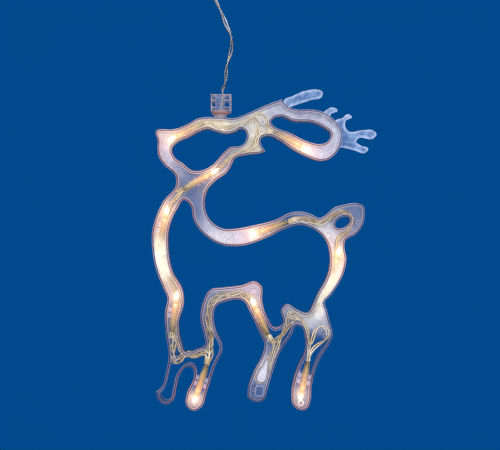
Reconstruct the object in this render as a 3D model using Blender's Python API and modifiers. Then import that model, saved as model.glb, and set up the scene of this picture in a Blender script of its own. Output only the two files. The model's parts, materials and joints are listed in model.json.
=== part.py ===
"""A window light in the outline of a reindeer.

A two-part clear plastic channel (rear_shell, front_cover) holds ten push-in mini lamps and their
wires. It hangs from a windowed hub whose neck turns in the channel's top wall. The twisted lead
rises from the hub to a coil on a suction-cup hook, and ends in a fused plug.

The script works in millimetres, in a frame of its own: the hub's axis is x = 0 and the top of the
channel under the hub is z = 0. y = 0 is the plane where the shells meet, and -y is the front. An
empty places that frame, so that the world's origin is the middle of the suction cup's flat face.
"""

import math

import bmesh
import bpy
from mathutils import Matrix, Vector

MM = 0.001
GAP = 0.3

# The hanging point, in the reindeer's frame: the world's origin.
CUP_X = -9.0
CUP_Z = 184.0
GLASS_Y = 9.0

# The channel.
DEPTH = 16.0
WALL = 1.4
REAR_STEP = 0.6
COVER_TO_REAR = 0.3
BLADE_Y = (0.6, 3.0)
BLADE_ROOT = 0.4

# The lamps, measured along their axes from the wire end.
LAMP_Y = -1.0
LAMP_LENGTH = 42.0
HOLDER_R = 3.2
HOLDER_LENGTH = 24.0
POST_STATIONS = (15.5, 21.5)
POST_THICK = 2.0
POST_REACH = 9.0
POST_Y = (-3.5, 7.0)
BOSS_Y = (-6.0, 7.0)

# The wires.
WIRE_R = 0.6
WIRE_SIDE = 1.1
STRING_Y = 3.9
RETURN_Y = 5.5

# The lead: a loosely twisted pair, modelled as one tube of its outside width.
LEAD_R = 1.5
COIL_X = CUP_X
COIL_Y = -2.5
COIL_Z = 153.8
COIL_MID_R = 16.5
COIL_SECTION_R = 6.3

# The hub.
NECK_HOLE_R = 4.3
HUB_TOP = 23.0

# The plug.
PLUG_X = 30.0
PLUG_Y = -2.5
PLUG_BOTTOM = 142.0
PLUG_SIZE = (26.0, 16.0, 30.0)
BLADE_SPACING = 12.7
BLADE_SIZE = (1.5, 6.35, 16.0)

# The most that an outline or a wire turns between two of its points.
OUTLINE_TURN = math.radians(26)
WIRE_TURN = math.radians(30)

CORNER = "corner"

OUTLINE = [
    (-64.5, -17), (-64, -13.5), (-59, -12), (-51, -12.5), (-42, -11), (-32.5, -7), (-23, -1.5),
    (-14, 0), (2, 0), (14, -1), (27, 3.5), (47, 12.5), (62, 18, CORNER), (67, 11.5), (76, 8),
    (92.5, 7.5), (104, 5), (115.5, -3.5), (122, -13.5), (121.5, -26), (116.5, -36), (108, -42.5),
    (98, -43.5), (89, -40), (73.5, -32.5), (58.5, -22.5), (48, -18.5), (41, -21.5), (41, -27),
    (45.5, -34, CORNER), (42, -35.5), (25, -38), (14.5, -41.5), (12.5, -45.5), (6.5, -55.5),
    (-4, -63), (-12.5, -72.5), (-15.5, -86), (-13.5, -97), (-5.5, -107.5), (4, -112),
    (17.5, -111.5), (33.5, -108.5), (55, -103), (73, -95), (81.5, -94.5), (92, -97.5),
    (100, -101), (106, -98), (113, -91.5), (125, -87.5), (138, -86.5), (143.5, -89), (145, -97),
    (143, -108), (135.5, -117.5), (125.5, -123.5), (124.5, -130.5), (126.5, -141), (124.5, -154),
    (118, -168), (109.5, -180), (105, -185), (107, -193.5), (110.5, -207.5), (113, -217),
    (110, -226.5), (102.5, -238), (95, -255), (91.5, -271), (90.5, -284), (86.5, -292.5),
    (80.5, -293.5), (73, -288), (71.5, -279), (73.5, -264), (78.5, -248.5), (85, -235),
    (85, -220), (81.5, -210.5), (76.5, -209), (72.5, -216.5), (60, -235.5), (52.5, -256),
    (47, -275), (45.2, -281.5), (40.5, -285), (32.5, -284.3), (27.8, -280.5), (27.6, -275.5),
    (33.5, -255.5), (42, -239),
    (44.5, -228), (39.5, -216), (29.5, -194), (24, -184.5), (6, -184.5), (-3.5, -189),
    (-6.5, -201), (-4, -214), (2.5, -230.5), (-5, -249.5), (-14, -277), (-18.5, -290),
    (-27, -294), (-34, -288), (-33.5, -278), (-26, -258), (-27.5, -251.5), (-32.5, -250),
    (-39.5, -256.5), (-44, -272), (-47, -283.5), (-54.5, -288), (-62, -283), (-64, -275, CORNER),
    (-60.5, -272.5), (-54, -254.5), (-51.5, -238), (-53.5, -223), (-55, -208), (-55, -194),
    (-52.5, -181.5), (-57, -171), (-64, -153), (-68, -131), (-68, -114.5), (-64, -99.5),
    (-57, -84.5), (-44, -67), (-45, -58), (-55.5, -48.5), (-62, -38), (-62.5, -29), (-62.5, -22),
]
HEAD_HOLE = [
    (-48.5, -31), (-44.5, -25), (-32.5, -20), (-21, -14), (-13, -11.5), (-5, -14), (6, -16.5),
    (15, -14.5), (22, -11.5), (25, -13.5), (25, -25), (22, -28), (9.5, -30.5), (2, -37.5),
    (-7, -47.5), (-17, -53), (-28, -53.5), (-36.5, -47), (-47, -38.5),
]
ANTLER_HOLE = [
    (51, -5), (53, -1.5), (60, 1), (73.5, -3.5), (93, -5), (105, -10.5), (111, -16.5),
    (107, -25), (98, -27), (87, -24), (69.5, -15.5), (53.5, -8.5),
]
BODY_HOLE = [
    (-35.5, -83), (-43, -91.5), (-51, -110), (-52, -131), (-47.5, -155.5), (-38, -173),
    (-36.5, -185.5), (-41.5, -206.5), (-38, -228.5), (-35.5, -235.5), (-24, -233),
    (-15.5, -228.5), (-16, -219), (-19.5, -203), (-17, -185.5), (-9, -172.5), (2, -171),
    (22, -168.5), (36, -165), (41.5, -169.5), (42, -183), (47.5, -201), (56, -211),
    (62.5, -207.5), (62, -192), (66, -188), (78.5, -193.5), (88, -196), (92.5, -189), (98, -177),
    (108, -158), (110.5, -141), (104, -120.5), (90.5, -110.5), (80, -108), (65, -112),
    (46, -121), (19.5, -129), (2, -128), (-14.5, -119), (-26, -104), (-30.5, -87),
]
TAIL_HOLE = {"centre": (122.8, -105.5), "axes": (8.3, 5.2), "tilt": math.radians(28)}

# The flat antler blades that stand out of the channel's wall; each starts and ends inside it.
ANTLER_BLADES = [
    [
        (64, 14, CORNER), (64.5, 18), (73.5, 22.5), (82, 26.5), (90, 28.5), (98, 29),
        (103.5, 26.5), (102.5, 22), (92.5, 19), (77.5, 14), (71, 11.5), (68, 8, CORNER),
    ],
    [(102, 3, CORNER), (104.5, 6), (115.5, 10.5), (118.5, 8.5), (112, 4.5), (109.5, 0, CORNER)],
    [
        (114, -5, CORNER), (117, -2), (123.5, 0), (129.5, 4), (133, 2), (127, -2.5), (126, -7),
        (129, -12.5), (144.5, -12), (155, -12.5), (158, -16), (155, -20), (139.5, -20.5),
        (137.5, -23.5), (141, -27), (149.5, -31.5), (147, -34.5), (135, -32), (124, -29.5),
        (119, -29, CORNER),
    ],
]

# Round posts that the wires turn round: x, z and radius.
BOSSES = [
    (43, -5.2, 2.5), (138, -105.5, 2.6), (33.5, -174.5, 2.5), (-44.5, -241.7, 3.3),
    (105, -218.9, 2.6), (34.1, -273.2, 2.5), (89.5, 0.5, 1.2), (109.7, -115.7, 1.2),
]

# Where each lamp's bulb ends, and a point on its axis at about the wire end.
LAMPS = [
    {"tip": (-53.7, -23.8), "tail": (-16.2, -5.2)},
    {"tip": (91.0, -33.5), "tail": (53.8, -13.9)},
    {"tip": (-1.0, -51.0), "tail": (-37.4, -72.0)},
    {"tip": (-53.0, -88.5), "tail": (-61.0, -129.5)},
    {"tip": (-43.2, -174.0), "tail": (-48.5, -215.0)},
    {"tip": (-27.3, -289.0), "tail": (-13.6, -249.3)},
    {"tip": (30.8, -180.5), "tail": (48.4, -218.7)},
    {"tip": (80.2, -287.0), "tail": (88.5, -245.8)},
    {"tip": (121.0, -129.5), "tail": (111.0, -169.8)},
    {"tip": (28.5, -118.8), "tail": (68.1, -104.8)},
]

# The wire out of each lamp leaves on this side of its axis, seen from the tail: 1 left, -1 right.
OUT_SIDE = [1, -1, -1, -1, -1, 1, -1, 1, 1, 1]

# The way that each string wire takes between its two lamps: (x, z), or (x, z, y) off its layer.
HUB_ENDS = [(-0.8, -4.2, 0.0), (0.8, -4.2, 0.0)]
STRING_ROUTES = [
    [(-1.2, -6.8, 0.2), (-3.5, -7.6, 0.6), (-7, -6, 0), (-12, -4.6, -0.8)],
    [
        (-11, -7.5, 0), (-4, -9.6), (5, -10.5), (15, -8.5), (26, -3), (37, 4.6), (44.5, 3.2),
        (47.6, -2), (47.8, -6, 3), (48.8, -10.4, 1), (51.2, -12.4, -0.7),
    ],
    [
        (49.5, -14.5, -0.2), (46, -13.7, 2.6), (41, -15.8), (37.2, -20.5), (36, -26), (32, -31), (25, -33),
        (17, -36), (9, -39.5), (2, -47.5), (-10, -56), (-22, -63), (-34, -70),
    ],
    [
        (-41.5, -76.6, 0), (-47.5, -83.5, 3.4), (-52.5, -93), (-55.5, -106), (-59, -121),
    ],
    [
        (-60, -134, -0.5), (-59.5, -140, 2.5), (-57.5, -150), (-51, -166), (-46, -177),
        (-45.5, -195), (-48.2, -210),
    ],
    [
        (-46.8, -220, -0.5), (-46, -225.5, 2.5), (-48.4, -233), (-49, -241), (-46.2, -246.3),
        (-41.8, -245.8), (-39.3, -241.8), (-34, -238.8), (-26, -239.5), (-19, -237.2),
        (-14, -238, 2.6), (-13, -242, 0), (-13.7, -245.5, -0.8),
    ],
    [
        (-11.2, -245, -0.8), (-9.8, -240, 0.8), (-9.3, -234, 3), (-10.5, -222), (-12.8, -208),
        (-12.5, -196), (-8, -184), (0, -179), (12, -178), (23, -177), (29.5, -181), (35, -192),
        (43, -210),
    ],
    [
        (51.3, -221.5, -0.8), (54, -227.5, 0.8), (51.8, -238, 3.4), (46, -248), (38.8, -256),
        (36.5, -262), (38, -267), (42.5, -268), (45.5, -264), (48.5, -255), (55, -240),
        (59, -229), (64, -219), (71.5, -208.5), (79, -203.6), (85.6, -209), (89, -219),
        (90, -228, 3.4), (89.2, -235, 1), (88.3, -240.5, -0.8),
    ],
    [
        (90.4, -241, -0.7), (92.3, -236, 1), (96, -231.8, 3.4), (102.5, -227.5), (107, -224),
        (109.1, -218.5), (107.6, -213.5), (103, -210.9), (98.3, -213), (95.2, -218, 3.2),
        (93.2, -224, 1), (90.8, -228.2, 0), (88.8, -224, 0.2), (88.2, -216, 0.6), (85.6, -209, 0.8),
        (82, -204.6, 1.2), (77, -202.6, 2.6), (71.8, -201.6), (69.2, -199.6), (69.6, -196.4),
        (75, -196.3), (83, -199), (90.5, -200.2), (96, -195.5), (99.8, -188.5, 3.4),
        (101.6, -184, 2.4), (105, -179.2, 0.5), (107.8, -176, -0.8),
    ],
    [
        (108.3, -173, -1), (106.6, -176, 0.8), (105.3, -175.6, 3.4), (106.4, -170), (112, -158),
        (116, -145), (118, -134), (118, -126), (121.5, -119.8), (128, -115.5), (132.3, -110),
        (133.7, -104), (131.5, -98.2), (126, -94.5), (117.5, -96), (109.5, -100), (100.5, -104.5),
        (90, -102), (80, -100.3, 3), (75.5, -101, 0.5), (71.5, -102.5, -0.8),
    ],
]
RETURN_ROUTE = [
    (72.5, -105, -0.7), (77, -103.8, 1.5), (82, -103, 4.6), (90, -104), (100.5, -106.5),
    (110, -102.5), (117, -97), (126, -94.8), (131.6, -98.4), (133.9, -104.2), (132.3, -110.3),
    (127.5, -115.8), (121, -120), (118, -127), (119.5, -140), (117, -152), (110, -165), (103, -178),
    (97, -190), (90, -200.5), (80, -199), (72, -199.5), (68, -204), (66.5, -212), (60.5, -222),
    (53.5, -227), (47.5, -221), (42.5, -211), (36, -196), (29, -184), (20, -179.5), (6, -181),
    (-4.5, -185), (-10, -196), (-10.5, -208), (-9, -222), (-12, -233), (-21, -240.5),
    (-33, -240.5), (-40, -236), (-42.5, -228), (-45, -214), (-44.5, -200), (-42.5, -186),
    (-44, -175), (-51, -162), (-57, -147), (-60, -130), (-58.5, -114), (-54.5, -98), (-48, -84),
    (-40, -75), (-28, -67), (-14, -59), (-2, -51), (6, -43), (13, -37.5), (25, -33.5), (33, -29),
    (36.5, -20), (38, -8), (34, 0), (26, -4), (15, -7.5), (6, -9), (2, -7.6, 3.4),
    (0.8, -6.4, 1),
]

# Lamps that a wire reaches from the bulb's side turn back beyond the tail, towards the front.
TURNS_BACK = [2, 3, 4, 6]

# The lead from the hub to the coil, and from the coil to the plug.
LEAD_ROUTE = [
    (3, 23.3, 0), (2.1, 27.5, 0), (4.7, 34.3, 0), (5.6, 41.2, 0), (6.4, 51.6, -0.2),
    (8.2, 58.5, -0.4), (10.7, 67.1, -0.7), (11.6, 75.7, -1), (10.4, 84.3, -1.3),
    (6.4, 92.9, -1.7), (3, 101.5, -2), (-0.5, 109.3, -2.3), (-4, 117, -2.5), (-6.8, 124, -2.5),
    (-8.2, 130.4, -2.5),
]
TAIL_ROUTE = [
    (6.0, 171.7, -2.5), (10, 176.2, -2.5), (16, 182, -2.5), (23, 185.4, -2.5), (28.2, 183.8, -2.5),
    (29.9, 181, -2.5), (30, 178.4, -2.5),
]


def clear_scene():
    for obj in list(bpy.data.objects):
        bpy.data.objects.remove(obj, do_unlink=True)


def material(name, colour, roughness, metallic=0.0, alpha=1.0):
    mat = bpy.data.materials.new(name)
    mat.use_nodes = True
    shader = mat.node_tree.nodes["Principled BSDF"]
    shader.inputs["Base Color"].default_value = (*colour, 1)
    shader.inputs["Roughness"].default_value = roughness
    shader.inputs["Metallic"].default_value = metallic
    shader.inputs["Alpha"].default_value = alpha
    return mat


def collections():
    """The collection of the parts, and the one of the cutters and the shapes joined to a part."""
    parts = bpy.data.collections.new("reindeer_window_light")
    tools = bpy.data.collections.new("cutters")
    for collection in (parts, tools):
        bpy.context.scene.collection.children.link(collection)
    return parts, tools


def place_frame():
    frame = bpy.data.objects.new("reindeer_frame", None)
    frame.location = Vector((-CUP_X, -GLASS_Y, -CUP_Z)) * MM
    PARTS.objects.link(frame)
    return frame


def add(name, data, mat, tool=False):
    obj = bpy.data.objects.new(name, data)
    (TOOLS if tool else PARTS).objects.link(obj)
    obj.parent = FRAME
    if tool:
        obj.display_type = "WIRE"
        obj.hide_render = True
    elif not obj.data.materials:
        obj.data.materials.append(mat)
    return obj


def boolean(obj, other, operation):
    modifier = obj.modifiers.new(f"{operation.lower()}_{other.name}", "BOOLEAN")
    modifier.operation = operation
    modifier.object = other


# Smooth lines and outlines.


def unit(vector):
    return vector.normalized() if vector.length > 0 else vector


def smooth(points, turn, closed=False):
    """Points on the curve through the given ones, with none added at a corner."""
    places = [Vector([c for c in p if c != CORNER]) for p in points]
    count = len(places)
    corners = [CORNER in p for p in points]
    tangents = []
    for i, place in enumerate(places):
        before = place - places[i - 1]
        after = places[(i + 1) % count] - place
        if corners[i]:
            tangents.append(Vector([0.0] * len(place)))
        elif not closed and i == 0:
            tangents.append(unit(after))
        elif not closed and i == count - 1:
            tangents.append(unit(before))
        else:
            tangents.append(unit(unit(before) * after.length + unit(after) * before.length))
    line = []
    for i in range(count if closed else count - 1):
        a, b = places[i], places[(i + 1) % count]
        out, back = tangents[i], tangents[(i + 1) % count]
        chord = b - a
        bend = sum(t.angle(chord) for t in (out, back) if t.length > 0)
        steps = max(1, math.ceil(bend / turn))
        reach = chord.length / 3
        c, d = a + out * reach, b - back * reach
        for step in range(steps):
            t = step / steps
            u = 1 - t
            line.append(a * u**3 + c * (3 * u * u * t) + d * (3 * u * t * t) + b * t**3)
    if not closed:
        line.append(places[-1])
    return line


def ellipse(shape, count=18):
    cx, cz = shape["centre"]
    a, b = shape["axes"]
    cos, sin = math.cos(shape["tilt"]), math.sin(shape["tilt"])
    angles = [2 * math.pi * i / count for i in range(count)]
    return [
        Vector((cx + a * math.cos(t) * cos - b * math.sin(t) * sin,
                cz + a * math.cos(t) * sin + b * math.sin(t) * cos))
        for t in angles
    ]


def signed_area(loop):
    pairs = zip(loop, loop[1:] + loop[:1])
    return sum(a.x * b.y - b.x * a.y for a, b in pairs) / 2


def inset(loop, distance, hole=False):
    """The loop moved into the material by the distance: inwards, or outwards round a hole."""
    side = 1 if (signed_area(loop) > 0) != hole else -1
    moved = []
    for i, point in enumerate(loop):
        before = unit(point - loop[i - 1])
        after = unit(loop[(i + 1) % len(loop)] - point)
        normal = unit(before + after).orthogonal() * side
        along = max(0.5, normal.dot(before.orthogonal() * side))
        moved.append(point + normal * (distance / along))
    return moved


def channel_loops(distance):
    """The reindeer's outline and its four holes, with the material cut back by the distance."""
    holes = [smooth(h, OUTLINE_TURN, True) for h in (HEAD_HOLE, ANTLER_HOLE, BODY_HOLE)]
    holes.append(ellipse(TAIL_HOLE))
    outer = smooth(OUTLINE, OUTLINE_TURN, True)
    return [inset(outer, distance)] + [inset(h, distance, hole=True) for h in holes]


# Shapes.


def mesh_of(obj):
    """The evaluated object as a new welded mesh; the object is removed."""
    graph = bpy.context.evaluated_depsgraph_get()
    mesh = bpy.data.meshes.new_from_object(obj.evaluated_get(graph))
    mesh.transform(obj.matrix_basis)
    bpy.data.objects.remove(obj, do_unlink=True)
    bm = bmesh.new()
    bm.from_mesh(mesh)
    bmesh.ops.remove_doubles(bm, verts=bm.verts, dist=0.01 * MM)
    bmesh.ops.recalc_face_normals(bm, faces=bm.faces)
    bm.to_mesh(mesh)
    bm.free()
    return mesh


def flat_mesh(loops, y_front, y_back):
    """A flat outline with holes in the XZ plane, filled between two depths."""
    curve = bpy.data.curves.new("outline", "CURVE")
    curve.dimensions = "2D"
    curve.fill_mode = "BOTH"
    curve.extrude = (y_back - y_front) / 2 * MM
    for loop in loops:
        spline = curve.splines.new("POLY")
        spline.points.add(len(loop) - 1)
        for point, place in zip(spline.points, loop):
            point.co = (place.x * MM, place.y * MM, 0, 1)
        spline.use_cyclic_u = True
    obj = bpy.data.objects.new("outline", curve)
    bpy.context.scene.collection.objects.link(obj)
    obj.rotation_euler.x = math.pi / 2
    obj.location.y = (y_front + y_back) / 2 * MM
    bpy.context.view_layer.update()
    return mesh_of(obj)


def box_into(bm, low, high, matrix=None):
    """Adds a box between two corners, turned by the matrix where one is given."""
    size = [(b - a) * MM for a, b in zip(low, high)]
    centre = [(a + b) / 2 * MM for a, b in zip(low, high)]
    place = Matrix.Translation(centre) @ Matrix.Diagonal((*size, 1))
    bmesh.ops.create_cube(bm, size=1, matrix=(matrix or Matrix()) @ place)


def cylinder_into(bm, radius, start, end, segments=16):
    """Adds a cylinder from one point to another."""
    a, b = Vector(start) * MM, Vector(end) * MM
    turn = (b - a).to_track_quat("Z", "Y").to_matrix().to_4x4()
    bmesh.ops.create_cone(
        bm, cap_ends=True, segments=segments, radius1=radius * MM, radius2=radius * MM,
        depth=(b - a).length, matrix=Matrix.Translation((a + b) / 2) @ turn,
    )


def mesh_from(name, build):
    mesh = bpy.data.meshes.new(name)
    bm = bmesh.new()
    build(bm)
    bm.to_mesh(mesh)
    bm.free()
    return mesh


def turned(name, profile, mat, steps=12, tool=False):
    """A profile of (radius, height), top to bottom, turned about the object's own Z."""
    mesh = bpy.data.meshes.new(name)
    points = [(r * MM, 0, h * MM) for r, h in profile]
    mesh.from_pydata(points, [(i, i + 1) for i in range(len(points) - 1)], [])
    obj = add(name, mesh, mat, tool)
    screw = obj.modifiers.new("turn", "SCREW")
    screw.steps = steps
    screw.render_steps = steps
    screw.use_merge_vertices = True
    screw.merge_threshold = 0.01 * MM
    screw.use_smooth_shade = True
    return obj


def tube(name, points, radius, mat, bevel_resolution=1):
    curve = bpy.data.curves.new(name, "CURVE")
    curve.dimensions = "3D"
    curve.bevel_depth = radius * MM
    curve.bevel_resolution = bevel_resolution
    curve.use_fill_caps = True
    spline = curve.splines.new("POLY")
    spline.points.add(len(points) - 1)
    for point, place in zip(spline.points, points):
        point.co = (*(place * MM), 1)
    return add(name, curve, mat)


# The channel.


def post_box(bm, lamp, station, side):
    """One of the four posts that grip a lamp's holder."""
    inner = HOLDER_R + GAP
    turn = lamp_matrix(lamp)
    low = [inner, station - POST_THICK / 2]
    high = [inner + POST_REACH, station + POST_THICK / 2]
    if side < 0:
        low[0], high[0] = -high[0], -low[0]
    # In the lamp's frame X is across it in the channel's plane, -Y is to the front, Z is along.
    near, far = POST_Y[0] - LAMP_Y, POST_Y[1] - LAMP_Y
    box_into(bm, (low[0], near, low[1]), (high[0], far, high[1]), turn)


def inner_posts():
    """The lamps' posts and the bosses, cut to the room inside the rear shell's wall."""
    def build(bm):
        for lamp in LAMPS:
            for station in POST_STATIONS:
                for side in (1, -1):
                    post_box(bm, lamp, station, side)
        for x, z, radius in BOSSES:
            cylinder_into(bm, radius, (x, BOSS_Y[0], z), (x, BOSS_Y[1], z), 12)

    posts = add("inner_posts", mesh_from("inner_posts", build), None, tool=True)
    room = flat_mesh(channel_loops(REAR_STEP + WALL - 0.3), BOSS_Y[0] - 1, BOSS_Y[1] + 0.5)
    boolean(posts, add("room_inside", room, None, tool=True), "INTERSECT")
    return posts


def antler_blades():
    loops = [smooth(blade, OUTLINE_TURN, True) for blade in ANTLER_BLADES]
    return add("antler_blades", flat_mesh(loops, *BLADE_Y), None, tool=True)


def neck_cutter():
    def build(bm):
        cylinder_into(bm, NECK_HOLE_R, (0, 0, 2), (0, 0, -3), 24)

    return add("neck_hole", mesh_from("neck_hole", build), None, tool=True)


def rear_shell(neck):
    half = DEPTH / 2
    outer = flat_mesh(channel_loops(REAR_STEP), 0, half)
    shell = add("rear_shell", outer, CLEAR)
    cavity = flat_mesh(channel_loops(REAR_STEP + WALL), -1, half - WALL)
    boolean(shell, antler_blades(), "UNION")
    boolean(shell, neck, "DIFFERENCE")
    boolean(shell, add("rear_cavity", cavity, None, tool=True), "DIFFERENCE")
    boolean(shell, inner_posts(), "UNION")


def front_cover(neck):
    half = DEPTH / 2
    cover = add("front_cover", flat_mesh(channel_loops(0), -half, -COVER_TO_REAR), CLEAR)
    cavity = flat_mesh(channel_loops(WALL), -half + WALL, 1)
    boolean(cover, neck, "DIFFERENCE")
    boolean(cover, add("cover_cavity", cavity, None, tool=True), "DIFFERENCE")


# The lamps.


def lamp_matrix(lamp):
    """The lamp's own frame: Z along it to the bulb, Y to the back, origin at the wire end."""
    tip = Vector((lamp["tip"][0], 0, lamp["tip"][1]))
    tail = Vector((lamp["tail"][0], 0, lamp["tail"][1]))
    along = (tip - tail).normalized()
    back = Vector((0, 1, 0))
    across = back.cross(along)
    matrix = Matrix((across, back, along)).transposed().to_4x4()
    origin = tip - along * LAMP_LENGTH + Vector((0, LAMP_Y, 0))
    matrix.translation = origin * MM
    return matrix


HOLDER_PROFILE = [
    (0, 15), (2.5, 15), (2.5, HOLDER_LENGTH), (HOLDER_R, HOLDER_LENGTH), (HOLDER_R, 10),
    (2.6, 3), (2.2, 0), (0, 0),
]
BASE_PROFILE = [
    (0, 28), (2.8, 28), (2.8, 25.8), (HOLDER_R, 25.8), (HOLDER_R, 24.3), (2.2, 24.3), (2.2, 15.4),
    (0, 15.4),
]
BULB_PROFILE = [
    (0, LAMP_LENGTH), (0.8, 41.2), (1.9, 39.4), (2.5, 36.5), (2.5, 30), (2.2, 28.3), (0, 28.3),
]


def lamps():
    kinds = (
        ("lamp_holder", HOLDER_PROFILE, HOLDER_PLASTIC),
        ("lamp_base", BASE_PROFILE, BASE_PLASTIC),
        ("lamp_bulb", BULB_PROFILE, BULB_GLASS),
    )
    for number, lamp in enumerate(LAMPS, 1):
        for name, profile, mat in kinds:
            piece = turned(f"{name}_{number:02d}", profile, mat, steps=10)
            piece.matrix_local = lamp_matrix(lamp)


# The wires inside the channel.


def tail_point(lamp, side, along=0.0):
    """A point on the wire into a lamp: this far beyond its tail, on this side of its axis."""
    place = Vector((-side * WIRE_SIDE, 0, -along)) * MM
    return lamp_matrix(lamp) @ place / MM


def turn_back(lamp, side):
    """The half turn of a wire that comes along under the lamp and goes back into its tail."""
    middle = (STRING_Y + LAMP_Y) / 2
    radius = (STRING_Y - LAMP_Y) / 2
    points = []
    for degrees in (90, 45, 0, -45, -90):
        angle = math.radians(degrees)
        point = tail_point(lamp, side * 1.3, 4 + radius * math.cos(angle))
        point.y = middle + radius * math.sin(angle)
        points.append(point)
    return points


def routed(points, layer):
    return [Vector((p[0], p[2] if len(p) > 2 else layer, p[1])) for p in points]


def wires():
    for i, route in enumerate(STRING_ROUTES):
        start = [tail_point(LAMPS[i - 1], OUT_SIDE[i - 1], 0.5)]
        if i == 0:
            start = routed(HUB_ENDS[:1], STRING_Y)
        lamp, side = LAMPS[i], -OUT_SIDE[i]
        end = [tail_point(lamp, side, 0.5)]
        if i in TURNS_BACK:
            end = turn_back(lamp, side) + end
        line = smooth(start + routed(route, STRING_Y) + end, WIRE_TURN)
        tube(f"string_wire_{i + 1:02d}", line, WIRE_R, WIRE_PLASTIC)
    start = [tail_point(LAMPS[-1], OUT_SIDE[-1], 0.5)]
    line = smooth(start + routed(RETURN_ROUTE + HUB_ENDS[1:], RETURN_Y), WIRE_TURN)
    tube("return_wire", line, WIRE_R, WIRE_PLASTIC)


# The hub, which the channel turns on.


def hub():
    def windows(bm):
        for left, right in ((-8.2, -4.4), (4.2, 9.7)):
            for low, high in ((6.6, 9.0), (10.4, 16.2), (17.9, 21.7)):
                box_into(bm, (left, -8, low), (right, 8, high))

    def bore(bm):
        cylinder_into(bm, 2.1, (3.2, 0, 24), (-0.3, 0, 4), 12)

    def block(bm):
        box_into(bm, (-9.2, -7, 5.9), (11.2, 7, HUB_TOP))

    body = add("hub_body", mesh_from("hub_body", block), CLEAR)
    for name, build in (("hub_windows", windows), ("hub_bore", bore)):
        boolean(body, add(name, mesh_from(name, build), None, tool=True), "DIFFERENCE")
    neck = [
        (2.0, 5.6), (9.0, 5.6), (9.0, 4.4), (6.6, 3.0), (6.0, 2.8), (6.0, 0.4), (4.0, 0.4),
        (4.0, -2.4), (5.4, -2.4), (5.4, -3.6), (2.0, -3.6), (2.0, 5.6),
    ]
    turned("hub_neck", neck, CLEAR, steps=20)
    line = smooth([Vector((2.9, 0, 22.8)), Vector((1.6, 0, 14)), Vector((0.2, 0, 5)),
                   Vector((0, 0, 1)), Vector((0, 0, -3.6))], WIRE_TURN)
    tube("hub_wires", line, 1.2, WIRE_PLASTIC)


# The lead, its coil and its plug.


def lead():
    for name, route in (("lead_cord", LEAD_ROUTE), ("lead_tail", TAIL_ROUTE)):
        line = smooth([Vector((x, y, z)) for x, z, y in route], WIRE_TURN / 3)
        tube(name, line, LEAD_R, WIRE_PLASTIC, bevel_resolution=2)
    ring = []
    for i in range(9):
        angle = math.pi / 2 - 2 * math.pi * i / 8
        ring.append((COIL_MID_R + COIL_SECTION_R * math.cos(angle),
                     COIL_SECTION_R * math.sin(angle)))
    coil = turned("lead_coil", ring, WIRE_PLASTIC, steps=28)
    coil.location = Vector((COIL_X, COIL_Y, COIL_Z)) * MM
    coil.rotation_euler.x = math.pi / 2
    inner, outer = COIL_SECTION_R + 0.4, COIL_SECTION_R + 1.2
    band = [(inner, 1.5), (outer, 1.5), (outer, -1.5), (inner, -1.5), (inner, 1.5)]
    tie = turned("lead_tie", band, TIE_PLASTIC, steps=16)
    tie.location = Vector((COIL_X - COIL_MID_R, COIL_Y, COIL_Z)) * MM


def plug():
    wide, deep, tall = (s / 2 for s in PLUG_SIZE)
    front, bottom, top = PLUG_Y - deep, PLUG_BOTTOM, PLUG_BOTTOM + PLUG_SIZE[2]
    thick, broad, long = BLADE_SIZE

    def block(bm):
        box_into(bm, (PLUG_X - wide, front, bottom), (PLUG_X + wide, PLUG_Y + deep, top))
        bmesh.ops.bevel(bm, geom=bm.edges[:], offset=2.2 * MM, segments=2, affect="EDGES")

    def cord_neck(bm):
        cylinder_into(bm, 3.2, (PLUG_X, PLUG_Y, top - 2), (PLUG_X, PLUG_Y, top + 6), 12)

    def pockets(bm):
        box_into(bm, (PLUG_X - 4, front - 2, bottom - 2), (PLUG_X + 4, front + 5.5, bottom + 17.6))
        for side in (-1, 1):
            x = PLUG_X + side * BLADE_SPACING / 2
            half_x, half_y = thick / 2 + GAP, broad / 2 + GAP
            box_into(bm, (x - half_x, PLUG_Y - half_y, bottom - 2),
                     (x + half_x, PLUG_Y + half_y, bottom + 8.3))

    body = add("plug_body", mesh_from("plug_body", block), PLUG_PLASTIC)
    boolean(body, add("plug_neck", mesh_from("plug_neck", cord_neck), None, tool=True), "UNION")
    boolean(body, add("pockets", mesh_from("pockets", pockets), None, tool=True), "DIFFERENCE")
    for number, side in enumerate((-1, 1), 1):
        x = PLUG_X + side * BLADE_SPACING / 2

        def blade(bm, x=x):
            box_into(bm, (x - thick / 2, PLUG_Y - broad / 2, bottom - long),
                     (x + thick / 2, PLUG_Y + broad / 2, bottom + 8))

        add(f"plug_blade_{number}", mesh_from("plug_blade", blade), BRASS)
        fuse = turned(f"fuse_{number}", [(0, 5), (1.6, 5), (1.6, -5), (0, -5)], BULB_GLASS, 10)
        fuse.location = Vector((PLUG_X + side * 1.9, front + 3.5, bottom + 10)) * MM

    def door(bm):
        box_into(bm, (-3.7, -0.7, -8.4), (3.7, 0.7, 8.4))

    cover = add("fuse_door", mesh_from("fuse_door", door), PLUG_PLASTIC)
    cover.location = Vector((PLUG_X, front + 0.8, bottom + 8.9)) * MM


# What it hangs from.


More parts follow.
